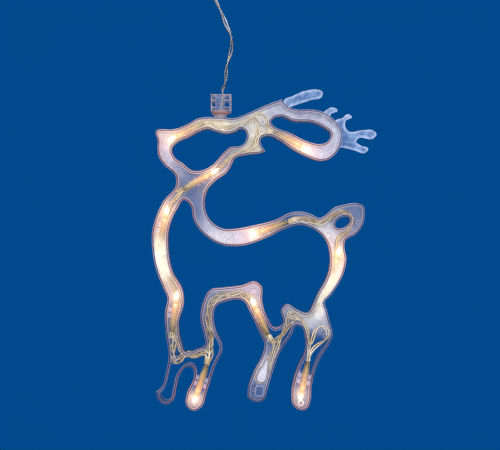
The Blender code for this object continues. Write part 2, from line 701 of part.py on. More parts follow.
def hanger():
    cup = turned("suction_cup", [
        (0, 6.6), (3.4, 6.6), (3.9, 5.9), (3.0, 5.1), (3.0, 2.5), (6, 2.3), (12, 1.5), (17, 0.8),
        (17, 0), (0, 0),
    ], CUP_PLASTIC, steps=28)
    cup.location = Vector((CUP_X, GLASS_Y, CUP_Z)) * MM
    cup.rotation_euler.x = math.pi / 2
    back = (4.2, 6.2)

    def strip(bm):
        corners = [
            (4.2, CUP_Z), (4.2, 163.2), (-9.4, 163.2), (-9.4, 170), (-11.4, 170), (-11.4, 161.4),
            (-10.2, 160.2), (5.0, 160.2), (6.2, 161.4), (6.2, CUP_Z),
        ]
        left = [bm.verts.new(Vector((CUP_X - 3, y, z)) * MM) for y, z in corners]
        grown = bmesh.ops.extrude_face_region(bm, geom=[bm.faces.new(left)])
        right = [v for v in grown["geom"] if isinstance(v, bmesh.types.BMVert)]
        bmesh.ops.translate(bm, verts=right, vec=(6 * MM, 0, 0))
        bmesh.ops.recalc_face_normals(bm, faces=bm.faces)

    def ring(bm):
        cylinder_into(bm, 5.6, (CUP_X, back[0], CUP_Z), (CUP_X, back[1], CUP_Z), 20)

    def eye(bm):
        cylinder_into(bm, 3.3, (CUP_X, back[0] - 1, CUP_Z), (CUP_X, back[1] + 1, CUP_Z), 20)

    hook = add("suction_hook", mesh_from("suction_hook", ring), CUP_PLASTIC)
    boolean(hook, add("hook_arm", mesh_from("hook_arm", strip), None, tool=True), "UNION")
    boolean(hook, add("hook_eye", mesh_from("hook_eye", eye), None, tool=True), "DIFFERENCE")


clear_scene()
PARTS, TOOLS = collections()
FRAME = place_frame()
CLEAR = material("clear_plastic", (0.86, 0.86, 0.92), 0.12, alpha=0.45)
HOLDER_PLASTIC = material("holder_plastic", (0.72, 0.6, 0.38), 0.35, alpha=0.8)
BASE_PLASTIC = material("base_plastic", (0.95, 0.6, 0.25), 0.35)
BULB_GLASS = material("bulb_glass", (1.0, 0.93, 0.75), 0.05)
WIRE_PLASTIC = material("wire_insulation", (0.8, 0.7, 0.42), 0.3)
TIE_PLASTIC = material("tie_plastic", (0.9, 0.9, 0.88), 0.4)
PLUG_PLASTIC = material("plug_plastic", (0.85, 0.86, 0.84), 0.25)
BRASS = material("brass", (0.78, 0.63, 0.33), 0.25, metallic=1.0)
CUP_PLASTIC = material("cup_plastic", (0.88, 0.92, 0.94), 0.1, alpha=0.5)

NECK = neck_cutter()
rear_shell(NECK)
front_cover(NECK)
lamps()
wires()
hub()
lead()
plug()
hanger()
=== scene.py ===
"""The looks of the reindeer window light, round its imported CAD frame.

Shapes are given in millimetres in the reindeer's frame: the hub's axis is x = 0, the channel's top
under the hub is z = 0, y = 0 is the plane where the shells meet, and -y is the front.
"""

import json
import math

import bmesh
import bpy
import numpy as np
from mathutils import Matrix, Vector, geometry
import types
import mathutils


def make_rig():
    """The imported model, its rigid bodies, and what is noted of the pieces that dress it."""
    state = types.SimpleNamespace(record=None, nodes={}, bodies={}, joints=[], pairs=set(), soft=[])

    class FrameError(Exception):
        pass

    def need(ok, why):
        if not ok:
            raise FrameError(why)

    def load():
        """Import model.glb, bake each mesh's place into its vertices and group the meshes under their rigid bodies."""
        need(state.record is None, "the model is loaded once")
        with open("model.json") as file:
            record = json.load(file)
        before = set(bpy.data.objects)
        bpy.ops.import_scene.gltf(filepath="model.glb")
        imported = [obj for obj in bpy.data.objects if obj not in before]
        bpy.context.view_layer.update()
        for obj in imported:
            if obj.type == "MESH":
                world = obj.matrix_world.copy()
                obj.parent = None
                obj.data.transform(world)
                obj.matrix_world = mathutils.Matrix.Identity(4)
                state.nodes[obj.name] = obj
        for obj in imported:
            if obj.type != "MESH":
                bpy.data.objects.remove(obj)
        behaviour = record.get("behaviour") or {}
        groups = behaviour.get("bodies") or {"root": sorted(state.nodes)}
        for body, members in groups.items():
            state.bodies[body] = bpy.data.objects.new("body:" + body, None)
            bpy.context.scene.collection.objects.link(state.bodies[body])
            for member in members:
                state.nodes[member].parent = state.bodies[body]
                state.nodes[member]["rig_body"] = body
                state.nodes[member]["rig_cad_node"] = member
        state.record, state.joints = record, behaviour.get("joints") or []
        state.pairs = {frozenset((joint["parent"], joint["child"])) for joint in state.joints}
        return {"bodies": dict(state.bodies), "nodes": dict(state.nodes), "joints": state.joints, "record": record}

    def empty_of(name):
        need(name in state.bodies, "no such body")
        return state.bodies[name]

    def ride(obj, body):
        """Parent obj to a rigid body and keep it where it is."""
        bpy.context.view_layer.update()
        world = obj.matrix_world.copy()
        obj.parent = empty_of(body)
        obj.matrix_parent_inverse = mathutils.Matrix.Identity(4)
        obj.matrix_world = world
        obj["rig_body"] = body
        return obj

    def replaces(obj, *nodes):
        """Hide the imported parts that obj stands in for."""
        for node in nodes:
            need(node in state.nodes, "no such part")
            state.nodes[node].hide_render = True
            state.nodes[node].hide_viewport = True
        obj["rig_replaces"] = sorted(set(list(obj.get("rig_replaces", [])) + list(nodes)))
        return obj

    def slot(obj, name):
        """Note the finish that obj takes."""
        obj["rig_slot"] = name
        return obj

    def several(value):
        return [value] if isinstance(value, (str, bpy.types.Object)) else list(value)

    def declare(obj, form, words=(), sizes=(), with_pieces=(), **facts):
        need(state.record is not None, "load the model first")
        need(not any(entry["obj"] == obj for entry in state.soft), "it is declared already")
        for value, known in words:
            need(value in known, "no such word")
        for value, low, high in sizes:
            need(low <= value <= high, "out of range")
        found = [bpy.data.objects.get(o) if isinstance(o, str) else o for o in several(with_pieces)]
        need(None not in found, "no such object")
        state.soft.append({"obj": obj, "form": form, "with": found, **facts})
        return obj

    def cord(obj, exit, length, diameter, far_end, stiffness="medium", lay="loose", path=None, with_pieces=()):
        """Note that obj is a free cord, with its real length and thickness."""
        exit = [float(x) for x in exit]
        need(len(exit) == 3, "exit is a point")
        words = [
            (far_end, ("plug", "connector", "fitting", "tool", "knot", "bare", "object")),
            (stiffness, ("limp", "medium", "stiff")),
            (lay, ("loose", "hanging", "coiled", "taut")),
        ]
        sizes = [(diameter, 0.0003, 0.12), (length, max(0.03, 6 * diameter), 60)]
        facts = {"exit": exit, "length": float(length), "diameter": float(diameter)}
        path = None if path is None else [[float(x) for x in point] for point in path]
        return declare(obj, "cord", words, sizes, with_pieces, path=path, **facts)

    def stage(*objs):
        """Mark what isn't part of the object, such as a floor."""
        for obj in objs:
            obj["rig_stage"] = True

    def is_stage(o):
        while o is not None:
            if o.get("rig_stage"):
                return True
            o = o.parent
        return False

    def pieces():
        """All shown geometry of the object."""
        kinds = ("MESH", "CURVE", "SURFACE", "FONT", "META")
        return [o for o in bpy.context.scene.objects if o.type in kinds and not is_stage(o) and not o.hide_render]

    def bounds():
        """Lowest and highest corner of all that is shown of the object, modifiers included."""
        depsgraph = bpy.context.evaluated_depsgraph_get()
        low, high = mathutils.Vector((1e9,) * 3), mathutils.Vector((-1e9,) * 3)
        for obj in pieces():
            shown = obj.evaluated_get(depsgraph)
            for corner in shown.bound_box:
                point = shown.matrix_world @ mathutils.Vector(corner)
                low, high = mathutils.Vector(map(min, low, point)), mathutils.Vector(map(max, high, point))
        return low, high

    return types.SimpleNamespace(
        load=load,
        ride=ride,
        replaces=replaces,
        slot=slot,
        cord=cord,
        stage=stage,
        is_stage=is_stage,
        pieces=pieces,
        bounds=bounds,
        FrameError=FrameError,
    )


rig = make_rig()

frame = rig.load()
CAD_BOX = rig.bounds()

MM = 0.001
GAP = 0.3
CUP_X = -9.0
CUP_Z = 184.0
GLASS_Y = 9.0
ORIGIN = Vector((-CUP_X, -GLASS_Y, -CUP_Z))
CORNER = "corner"

# Over what distance a bulb lights the plastic: closely, and as a haze. Where on a bulb the light
# is strongest, and over what half length.
GLOW_REACH = 3.6
HAZE_REACH = 17.0
GLOW_HEIGHT = 37.5
GLOW_HALF = 6.5
# Meshes: the spacing of points on flat faces, and what is welded, in metres.
FACE_SPACING = 2.4
WELD = 0.002 * MM
# The antler blades: their middle plane, half their rim, its bevel and their points' spacing.
BLADE_MIDDLE = 1.8
BLADE_RIM = 0.45
BLADE_BEVEL = 0.35
BLADE_SPACING = 0.9

# The channel.
WALL = 1.4
REAR_STEP = 0.6
LAMP_Y = -1.0
LAMP_LENGTH = 42.0
HOLDER_R = 3.2
POST_STATIONS = (15.5, 21.5)
# How far a lamp's posts reach, by lamp, and the ribs that they are made of.
POST_REACH = {3: 1.2}
POST_REACH_ELSEWHERE = 3.2
RIB_IN, RIB_OUT = 0.85, 1.3
RIB_Y = (-2.5, 7.9)
RIB_BEVEL = 0.12
STRING_R = 0.9
STRAND_PITCH = 46.0
STRAND_STEP = 1.6
WIRE_SIDE = 1.1
STRING_Y = 3.9
RETURN_Y = 5.5

OUTLINE = [
    (-64.5, -17), (-64, -13.5), (-59, -12), (-51, -12.5), (-42, -11), (-32.5, -7), (-23, -1.5),
    (-14, 0), (2, 0), (14, -1), (27, 3.5), (47, 12.5), (62, 18, CORNER), (67, 11.5), (76, 8),
    (92.5, 7.5), (104, 5), (115.5, -3.5), (122, -13.5), (121.5, -26), (116.5, -36), (108, -42.5),
    (98, -43.5), (89, -40), (73.5, -32.5), (58.5, -22.5), (48, -18.5), (41, -21.5), (41, -27),
    (45.5, -34, CORNER), (42, -35.5), (25, -38), (14.5, -41.5), (12.5, -45.5), (6.5, -55.5),
    (-4, -63), (-12.5, -72.5), (-15.5, -86), (-13.5, -97), (-5.5, -107.5), (4, -112),
    (17.5, -111.5), (33.5, -108.5), (55, -103), (73, -95), (81.5, -94.5), (92, -97.5),
    (100, -101), (106, -98), (113, -91.5), (125, -87.5), (138, -86.5), (143.5, -89), (145, -97),
    (143, -108), (135.5, -117.5), (125.5, -123.5), (124.5, -130.5), (126.5, -141), (124.5, -154),
    (118, -168), (109.5, -180), (105, -185), (107, -193.5), (110.5, -207.5), (113, -217),
    (110, -226.5), (102.5, -238), (95, -255), (91.5, -271), (90.5, -284), (86.5, -292.5),
    (80.5, -293.5), (73, -288), (71.5, -279), (73.5, -264), (78.5, -248.5), (85, -235),
    (85, -220), (81.5, -210.5), (76.5, -209), (72.5, -216.5), (60, -235.5), (52.5, -256),
    (47, -275), (45.2, -281.5), (40.5, -285), (32.5, -284.3), (27.8, -280.5), (27.6, -275.5),
    (33.5, -255.5), (42, -239),
    (44.5, -228), (39.5, -216), (29.5, -194), (24, -184.5), (6, -184.5), (-3.5, -189),
    (-6.5, -201), (-4, -214), (2.5, -230.5), (-5, -249.5), (-14, -277), (-18.5, -290),
    (-27, -294), (-34, -288), (-33.5, -278), (-26, -258), (-27.5, -251.5), (-32.5, -250),
    (-39.5, -256.5), (-44, -272), (-47, -283.5), (-54.5, -288), (-62, -283), (-64, -275, CORNER),
    (-60.5, -272.5), (-54, -254.5), (-51.5, -238), (-53.5, -223), (-55, -208), (-55, -194),
    (-52.5, -181.5), (-57, -171), (-64, -153), (-68, -131), (-68, -114.5), (-64, -99.5),
    (-57, -84.5), (-44, -67), (-45, -58), (-55.5, -48.5), (-62, -38), (-62.5, -29), (-62.5, -22),
]
HEAD_HOLE = [
    (-48.5, -31), (-44.5, -25), (-32.5, -20), (-21, -14), (-13, -11.5), (-5, -14), (6, -16.5),
    (15, -14.5), (22, -11.5), (25, -13.5), (25, -25), (22, -28), (9.5, -30.5), (2, -37.5),
    (-7, -47.5), (-17, -53), (-28, -53.5), (-36.5, -47), (-47, -38.5),
]
ANTLER_HOLE = [
    (51, -5), (53, -1.5), (60, 1), (73.5, -3.5), (93, -5), (105, -10.5), (111, -16.5),
    (107, -25), (98, -27), (87, -24), (69.5, -15.5), (53.5, -8.5),
]
BODY_HOLE = [
    (-35.5, -83), (-43, -91.5), (-51, -110), (-52, -131), (-47.5, -155.5), (-38, -173),
    (-36.5, -185.5), (-41.5, -206.5), (-38, -228.5), (-35.5, -235.5), (-24, -233),
    (-15.5, -228.5), (-16, -219), (-19.5, -203), (-17, -185.5), (-9, -172.5), (2, -171),
    (22, -168.5), (36, -165), (41.5, -169.5), (42, -183), (47.5, -201), (56, -211),
    (62.5, -207.5), (62, -192), (66, -188), (78.5, -193.5), (88, -196), (92.5, -189), (98, -177),
    (108, -158), (110.5, -141), (104, -120.5), (90.5, -110.5), (80, -108), (65, -112),
    (46, -121), (19.5, -129), (2, -128), (-14.5, -119), (-26, -104), (-30.5, -87),
]
TAIL_HOLE = {"centre": (122.8, -105.5), "axes": (8.3, 5.2), "tilt": math.radians(28)}
ANTLER_BLADES = [
    [
        (64, 14, CORNER), (64.5, 18), (73.5, 22.5), (82, 26.5), (90, 28.5), (98, 29),
        (103.5, 26.5), (102.5, 22), (92.5, 19), (77.5, 14), (71, 11.5), (68, 8, CORNER),
    ],
    [(102, 3, CORNER), (104.5, 6), (115.5, 10.5), (118.5, 8.5), (112, 4.5), (109.5, 0, CORNER)],
    [
        (114, -5, CORNER), (117, -2), (123.5, 0), (129.5, 4), (133, 2), (127, -2.5), (126, -7),
        (129, -12.5), (144.5, -12), (155, -12.5), (158, -16), (155, -20), (139.5, -20.5),
        (137.5, -23.5), (141, -27), (149.5, -31.5), (147, -34.5), (135, -32), (124, -29.5),
        (119, -29, CORNER),
    ],
]
BOSSES = [
    (43, -5.2, 2.5), (138, -105.5, 2.6), (33.5, -174.5, 2.5), (-44.5, -241.7, 3.3),
    (105, -218.9, 2.6), (34.1, -273.2, 2.5), (89.5, 0.5, 1.2), (109.7, -115.7, 1.2),
]
LAMPS = [
    {"tip": (-53.7, -23.8), "tail": (-16.2, -5.2)},
    {"tip": (91.0, -33.5), "tail": (53.8, -13.9)},
    {"tip": (-1.0, -51.0), "tail": (-37.4, -72.0)},
    {"tip": (-53.0, -88.5), "tail": (-61.0, -129.5)},
    {"tip": (-43.2, -174.0), "tail": (-48.5, -215.0)},
    {"tip": (-27.3, -289.0), "tail": (-13.6, -249.3)},
    {"tip": (30.8, -180.5), "tail": (48.4, -218.7)},
    {"tip": (80.2, -287.0), "tail": (88.5, -245.8)},
    {"tip": (121.0, -129.5), "tail": (111.0, -169.8)},
    {"tip": (28.5, -118.8), "tail": (68.1, -104.8)},
]
OUT_SIDE = [1, -1, -1, -1, -1, 1, -1, 1, 1, 1]
HUB_ENDS = [(-0.8, -4.2, 0.0), (0.8, -4.2, 0.0)]
STRING_ROUTES = [
    [(-1.2, -6.8, 0.2), (-3.5, -7.6, 0.6), (-7, -6, 0), (-12, -4.6, -0.8)],
    [
        (-11, -7.5, 0), (-4, -9.6), (5, -10.5), (15, -8.5), (26, -3), (37, 4.6), (44.5, 3.2),
        (47.6, -2), (47.8, -6, 3), (48.8, -10.4, 1), (51.2, -12.4, -0.7),
    ],
    [
        (49.5, -14.5, -0.2), (46, -13.7, 2.6), (41, -15.8), (37.2, -20.5), (36, -26), (32, -31),
        (25, -33),
        (17, -36), (9, -39.5), (2, -47.5), (-10, -56), (-22, -63), (-34, -70),
    ],
    [
        (-41.5, -76.6, 0), (-47.5, -83.5, 3.4), (-52.5, -93), (-55.5, -106), (-59, -121),
    ],
    [
        (-60, -134, -0.5), (-59.5, -140, 2.5), (-57.5, -150), (-51, -166), (-46, -177),
        (-45.5, -195), (-48.2, -210),
    ],
    [
        (-46.8, -220, -0.5), (-46, -225.5, 2.5), (-48.4, -233), (-49, -241), (-46.2, -246.3),
        (-41.8, -245.8), (-39.3, -241.8), (-34, -238.8), (-26, -239.5), (-19, -237.2),
        (-14, -238, 2.6), (-13, -242, 0), (-13.7, -245.5, -0.8),
    ],
    [
        (-11.2, -245, -0.8), (-9.8, -240, 0.8), (-9.3, -234, 3), (-10.5, -222), (-12.8, -208),
        (-12.5, -196), (-8, -184), (0, -179), (12, -178), (23, -177), (29.5, -181), (35, -192),
        (43, -210),
    ],
    [
        (51.3, -221.5, -0.8), (54, -227.5, 0.8), (51.8, -238, 3.4), (46, -248), (38.8, -256),
        (36.5, -262), (38, -267), (42.5, -268), (45.5, -264), (48.5, -255), (55, -240),
        (59, -229), (64, -219), (71.5, -208.5), (79, -203.6), (85.6, -209), (89, -219),
        (90, -228, 3.4), (89.2, -235, 1), (88.3, -240.5, -0.8),
    ],
    [
        (90.4, -241, -0.7), (92.3, -236, 1), (96, -231.8, 3.4), (102.5, -227.5), (107, -224),
        (109.1, -218.5), (107.6, -213.5), (103, -210.9), (98.3, -213), (95.2, -218, 3.2),
        (93.2, -224, 1), (90.8, -228.2, 0), (88.8, -224, 0.2), (88.2, -216, 0.6),
        (85.6, -209, 0.8),
        (82, -204.6, 1.2), (77, -202.6, 2.6), (71.8, -201.6), (69.2, -199.6), (69.6, -196.4),
        (75, -196.3), (83, -199), (90.5, -200.2), (96, -195.5), (99.8, -188.5, 3.4),
        (101.6, -184, 2.4), (105, -179.2, 0.5), (107.8, -176, -0.8),
    ],
    [
        (108.3, -173, -1), (106.6, -176, 0.8), (105.3, -175.6, 3.4), (106.4, -170), (112, -158),
        (116, -145), (118, -134), (118, -126), (121.5, -119.8), (128, -115.5), (132.3, -110),
        (133.7, -104), (131.5, -98.2), (126, -94.5), (117.5, -96), (109.5, -100), (100.5, -104.5),
        (90, -102), (80, -100.3, 3), (75.5, -101, 0.5), (71.5, -102.5, -0.8),
    ],
]
RETURN_ROUTE = [
    (72.5, -105, -0.7), (77, -103.8, 1.5), (82, -103, 4.6), (90, -104), (100.5, -106.5),
    (110, -102.5), (117, -97), (126, -94.8), (131.6, -98.4), (133.9, -104.2), (132.3, -110.3),
    (127.5, -115.8), (121, -120), (118, -127), (119.5, -140), (117, -152), (110, -165),
    (103, -178),
    (97, -190), (90, -200.5), (80, -199), (72, -199.5), (68, -204), (66.5, -212), (60.5, -222),
    (53.5, -227), (47.5, -221), (42.5, -211), (36, -196), (29, -184), (20, -179.5), (6, -181),
    (-4.5, -185), (-10, -196), (-10.5, -208), (-9, -222), (-12, -233), (-21, -240.5),
    (-33, -240.5), (-40, -236), (-42.5, -228), (-45, -214), (-44.5, -200), (-42.5, -186),
    (-44, -175), (-51, -162), (-57, -147), (-60, -130), (-58.5, -114), (-54.5, -98), (-48, -84),
    (-40, -75), (-28, -67), (-14, -59), (-2, -51), (6, -43), (13, -37.5), (25, -33.5), (33, -29),
    (36.5, -20), (38, -8), (34, 0), (26, -4), (15, -7.5), (6, -9), (2, -7.6, 3.4),
    (0.8, -6.4, 1),
]
TURNS_BACK = [2, 3, 4, 6]
TAIL_WIRE_NUMBER = 9
# How many strands show in a wire, and how far they stand from its middle, where not 2 and 1.1.
STRANDS = {5: (4, 2.4), 6: (3, 2.0), 7: (2, 1.25), 8: (2, 1.25)}
LEAD_ROUTE = [
    (3, 23.3, 0), (2.1, 27.5, 0), (4.7, 34.3, 0), (5.6, 41.2, 0), (6.4, 51.6, -0.2),
    (8.2, 58.5, -0.4), (10.7, 67.1, -0.7), (11.6, 75.7, -1), (10.4, 84.3, -1.3),
    (6.4, 92.9, -1.7), (3, 101.5, -2), (-0.5, 109.3, -2.3), (-4, 117, -2.5), (-6.8, 124, -2.5),
    (-8.2, 130.4, -2.5),
]
TAIL_ROUTE = [
    (6.0, 171.7, -2.5), (10, 176.2, -2.5), (16, 182, -2.5), (23, 185.4, -2.5), (28.2, 183.8, -2.5),
    (29.9, 181, -2.5), (30, 178.4, -2.5),
]

# The twisted pair: its strands, where they cross, in millimetres from the hub, and where they
# part: how far along, over what length, and how far apart.
STRAND_R = 0.62
PAIR_SIDES = 8
PAIR_CLOSE = 0.8
PAIR_HALF_TURN = 9.0
PAIR_CROSSINGS = [3, 13, 32, 61, 90, 108]
PAIR_EYES = [(7, 5, 0.15), (22, 7, 0.55), (45, 10, 0.5), (75, 10, 0.55)]
# The coil: where the lead joins it, in degrees, and how many turns on it leaves.
COIL_START = 250.0
COIL_END_TURNS = 12.53
COIL_CENTRE = (CUP_X, -2.5, 153.8)
COIL_MID_R = 16.5
COIL_TURNS = 13
LEAD_LENGTH = 1.5
# Where the turns of the coil lie in its section: (distance, angle) from its middle.
COIL_PLACES = [
    (4.85, 0), (4.85, 36), (4.85, 72), (4.85, 108), (4.85, 144), (1.73, 90), (1.73, -30),
    (1.73, -150), (4.85, -180), (4.85, -144), (4.85, -108), (4.85, -72), (4.85, -36),
]


def at(x, y, z):
    """A point in the world, in metres, from one in the reindeer's frame, in millimetres."""
    return (Vector((x, y, z)) + ORIGIN) * MM


# Smooth lines and outlines.


def unit(vector):
    return vector.normalized() if vector.length > 0 else vector


def smooth(points, turn, closed=False):
    """Points on the curve through the given ones, with none added at a corner."""
    places = [Vector([c for c in p if c != CORNER]) for p in points]
    count = len(places)
    tangents = []
    for i, place in enumerate(places):
        before = place - places[i - 1]
        after = places[(i + 1) % count] - place
        if CORNER in points[i]:
            tangents.append(Vector([0.0] * len(place)))
        elif not closed and i == 0:
            tangents.append(unit(after))
        elif not closed and i == count - 1:
            tangents.append(unit(before))
        else:
            tangents.append(unit(unit(before) * after.length + unit(after) * before.length))
    line = []
    for i in range(count if closed else count - 1):
        a, b = places[i], places[(i + 1) % count]
        out, back = tangents[i], tangents[(i + 1) % count]
        chord = b - a
        bend = sum(t.angle(chord) for t in (out, back) if t.length > 0)
        steps = max(1, math.ceil(bend / turn), math.ceil(chord.length / 4))
        reach = chord.length / 3
        c, d = a + out * reach, b - back * reach
        for step in range(steps):
            t = step / steps
            u = 1 - t
            line.append(a * u**3 + c * (3 * u * u * t) + d * (3 * u * t * t) + b * t**3)
    if not closed:
        line.append(places[-1])
    return line


def ellipse(shape, count=48):
    cx, cz = shape["centre"]
    a, b = shape["axes"]
    cos, sin = math.cos(shape["tilt"]), math.sin(shape["tilt"])
    angles = [2 * math.pi * i / count for i in range(count)]
    return [
        Vector((cx + a * math.cos(t) * cos - b * math.sin(t) * sin,
                cz + a * math.cos(t) * sin + b * math.sin(t) * cos))
        for t in angles
    ]


def signed_area(loop):
    pairs = zip(loop, loop[1:] + loop[:1])
    return sum(a.x * b.y - b.x * a.y for a, b in pairs) / 2


def distance_to(points, loop):
    """Each point's distance to a closed loop."""
    p = np.array(points, float).reshape(-1, 1, 2)
    a = np.array([tuple(v) for v in loop])
    d = np.roll(a, -1, axis=0) - a
    best = np.full(len(p), 1e9)
    for start in range(0, len(p), 2000):
        part = p[start:start + 2000]
        t = ((part - a) * d).sum(2) / np.maximum((d * d).sum(1), 1e-12)
        near = a + np.clip(t, 0, 1)[..., None] * d
        best[start:start + 2000] = np.sqrt(((part - near) ** 2).sum(2)).min(1)
    return best


def inset(loop, distance, hole=False):
    """The loop moved into the material by the distance, with as many points. Where a tight
    corner would fold over itself, its points gather at the fold."""
    if distance == 0:
        return list(loop)
    side = 1 if (signed_area(loop) > 0) != hole else -1
    moved = []
    for i, point in enumerate(loop):
        before = unit(point - loop[i - 1])
        after = unit(loop[(i + 1) % len(loop)] - point)
        normal = unit(before + after).orthogonal() * side
        along = max(0.5, normal.dot(before.orthogonal() * side))
        moved.append(point + normal * (distance / along))
    good = distance_to([tuple(m) for m in moved], loop) > abs(distance) - 0.03
    count = len(moved)
    for i in range(count):
        if not good[i]:
            back = next(k for k in range(1, count) if good[i - k])
            ahead = next(k for k in range(1, count) if good[(i + k) % count])
            moved[i] = (moved[i - back] + moved[(i + ahead) % count]) / 2
    return moved


TURN = math.radians(7)
LOOPS = [smooth(OUTLINE, TURN, True)]
LOOPS += [smooth(h, TURN, True) for h in (HEAD_HOLE, ANTLER_HOLE, BODY_HOLE)]
LOOPS.append(ellipse(TAIL_HOLE))


def channel_loops(distance):
    return [inset(LOOPS[0], distance)] + [inset(h, distance, True) for h in LOOPS[1:]]


def inside(points, loop):
    p = np.array(points, float).reshape(-1, 2)
    a = np.array([tuple(v) for v in loop])
    b = np.roll(a, -1, axis=0)
    found = np.zeros(len(p), bool)
    for (x1, z1), (x2, z2) in zip(a, b):
        if z1 != z2:
            crosses = ((z1 > p[:, 1]) != (z2 > p[:, 1]))
            crosses &= p[:, 0] < (x2 - x1) * (p[:, 1] - z1) / (z2 - z1) + x1
            found ^= crosses
    return found


def in_region(points, loops):
    found = inside(points, loops[0])
    for hole in loops[1:]:
        found &= ~inside(points, hole)
    return found


def plate(loops, spacing):
    """A triangle mesh between the loops: its points, its triangles, the point given for each of
    them, and how many points the loops have."""
    border = [tuple(p) for loop in loops for p in loop]
    edges = []
    start = 0
    for loop in loops:
        n = len(loop)
        edges += [(start + i, start + (i + 1) % n) for i in range(n)]
        start += n
    low, high = np.min(border, axis=0), np.max(border, axis=0)
    rows = np.arange(low[1], high[1], spacing * 0.87)
    grid = [
        (x, z)
        for k, z in enumerate(rows)
        for x in np.arange(low[0] + (k % 2) * spacing / 2, high[0], spacing)
    ]
    grid = np.array(grid)[in_region(grid, loops)]
    far = np.min([distance_to(grid, loop) for loop in loops], axis=0) > spacing * 0.55
    points = border + [tuple(p) for p in grid[far]]
    made = geometry.delaunay_2d_cdt([Vector(p) for p in points], edges, [], 0, 1e-4, True)
    places, faces, came = made[0], made[2], made[3]
    order = [olds[0] if olds else None for olds in came]
    centres = [tuple(sum((places[i] for i in f), Vector((0, 0))) / 3) for f in faces]
    keep = in_region(centres, loops)
    triangles = [tuple(f) for f, k in zip(faces, keep) if k]
    return places, triangles, order, len(border)


# Light that the plastic near each bulb takes up.


def lamp_matrix(lamp):
    """The lamp's own frame: Z along it to the bulb, Y to the back, origin at the wire end."""
    tip = Vector((lamp["tip"][0], 0, lamp["tip"][1]))
    tail = Vector((lamp["tail"][0], 0, lamp["tail"][1]))
    along = (tip - tail).normalized()
    back = Vector((0, 1, 0))
    across = back.cross(along)
    matrix = Matrix((across, back, along)).transposed().to_4x4()
    matrix.translation = tip - along * LAMP_LENGTH + Vector((0, LAMP_Y, 0))
    return matrix


# How milky and how warm the lamps' light makes the lit channel look round places along it, as painted light: (x, z,
# milk, warmth).
LAMP_LIT_MILK_SPOTS = [
    (43, -250, 1, 0), (44, -256, 1, 0), (41.5, -261.5, 1, 0), (39.5, -275, 0.1, 0),
    (52, -252, 0.2, 0), (34, -270, 0.15, 0),
    (-60, -16, 1, 0.25), (-55, -29, 0.95, 0.05), (-53, -41, 0.75, 0), (-45, -51, 0.4, 0),
    (-30, -63, 0.25, 0.1), (-48, -19, 0.8, 0.4), (-37, -13, 0.55, 0.7), (-24, -5, 1, 1),
    (-10, -2, 1, 1), (2, -4, 1, 0.75), (11, -9, 1, 0.5), (20, -7, 0.7, 0.3),
    (30, 1, 1, 0.5), (42, 3, 0.8, 0.3), (35, -9, 0.75, 0.4), (32, -21, 0.75, 0.75),
    (35, -31, 0.75, 0.8), (23, -33, 1, 0.75), (13, -36, 0.45, 0.3), (4, -43, 0.45, 0.2),
    (52, 9, 0.65, 0), (60, 14, 0.7, 0), (70, 5, 0.65, 0), (83, 2, 0.6, 0), (95, 4, 0.65, 0),
    (107, -3, 0.7, 0), (116, -15, 0.75, 0), (115, -30, 0.8, 0), (105, -40, 0.9, 0),
    (93, -38, 1, 0.1), (52, -13, 0.65, 0.6), (63, -19, 0.6, 0.6), (75, -25, 0.7, 0.4),
    (8, -51, 0.7, 0.1), (-3, -61, 0.6, 0.4), (-20, -70, 0.35, 0.5), (-27, -82, 0.2, 0),
    (-20, -93, 0.25, 0), (-14, -105, 0.55, 0), (-4, -115, 0.8, 0.1), (8, -121, 0.9, 0.1),
    (20, -119, 0.95, 0.05), (30, -116, 1, 0.1), (42, -112, 0.5, 0.5), (55, -105, 0.25, 0.5),
    (68, -100, 0.1, 0.1), (80, -98, 0.25, 0), (95, -104, 0.45, 0.4), (108, -115, 0.85, 0.15),
    (115, -126, 0.9, 0.2), (125, -108, 0.5, 0.1), (135, -95, 0.3, 0), (130, -118, 0.6, 0.1),
    (115, -95, 0.35, 0.2), (142, -105, 0.3, 0), (116, -138, 1, 0.5), (117, -151, 1.25, 0.75),
    (113, -163, 1.75, 0.75), (106, -176, 1.5, 0.75), (98, -186, 1.25, 0.5), (98, -198, 1.25, 0.25),
    (88, -195, 0.6, 0.1), (77, -191, 0.6, 0.1), (70, -197, 0.45, 0.1), (105, -209, 0.5, 0.1),
    (-40, -70, 0.3, 0.2), (-48, -79, 0.5, 0.4), (-54, -89, 0.9, 0.3), (-60, -98, 0.8, 0.5),
    (-65, -111, 0.75, 0.75), (-67, -126, 1.5, 0.75), (-65, -141, 1.75, 0.75),
    (-60, -155, 1.75, 0.75),
    (-54, -167, 1, 0.75), (-44, -176, 0.9, 0.1), (-40, -183, 0.6, 0.2), (-50, -198, 0.4, 0.4),
    (-52, -213, 0.3, 0.4), (-48, -228, 0.15, 0.3), (-13, -178, 0.4, 0), (-17, -193, 0.35, 0),
    (0, -174, 0.55, 0.1), (15, -173, 0.6, 0.05), (28, -170, 0.8, 0), (36, -175, 0.8, 0.05),
    (40, -188, 0.4, 0.2), (-13, -208, 0.25, 0.2), (-27, -287, 0.75, 0.25), (-22, -273, 0.1, 0.1),
    (42, -251, 0.9, 0), (39, -262, 0.6, 0), (47, -235, 0.35, 0), (37, -280, 0.25, 0),
    (80, -268, 0.25, 0.1), (81, -283, 0.5, 0.25), (55, -218, 0, 0), (50, -205, 0.12, 0),
    (-35, -245, 0, 0), (-60, -273, 0, 0), (-20, -243, 0.05, 0), (65, -213, 0.1, 0),
    (105, -228, 0.08, 0), (92, -248, 0.05, 0),
]


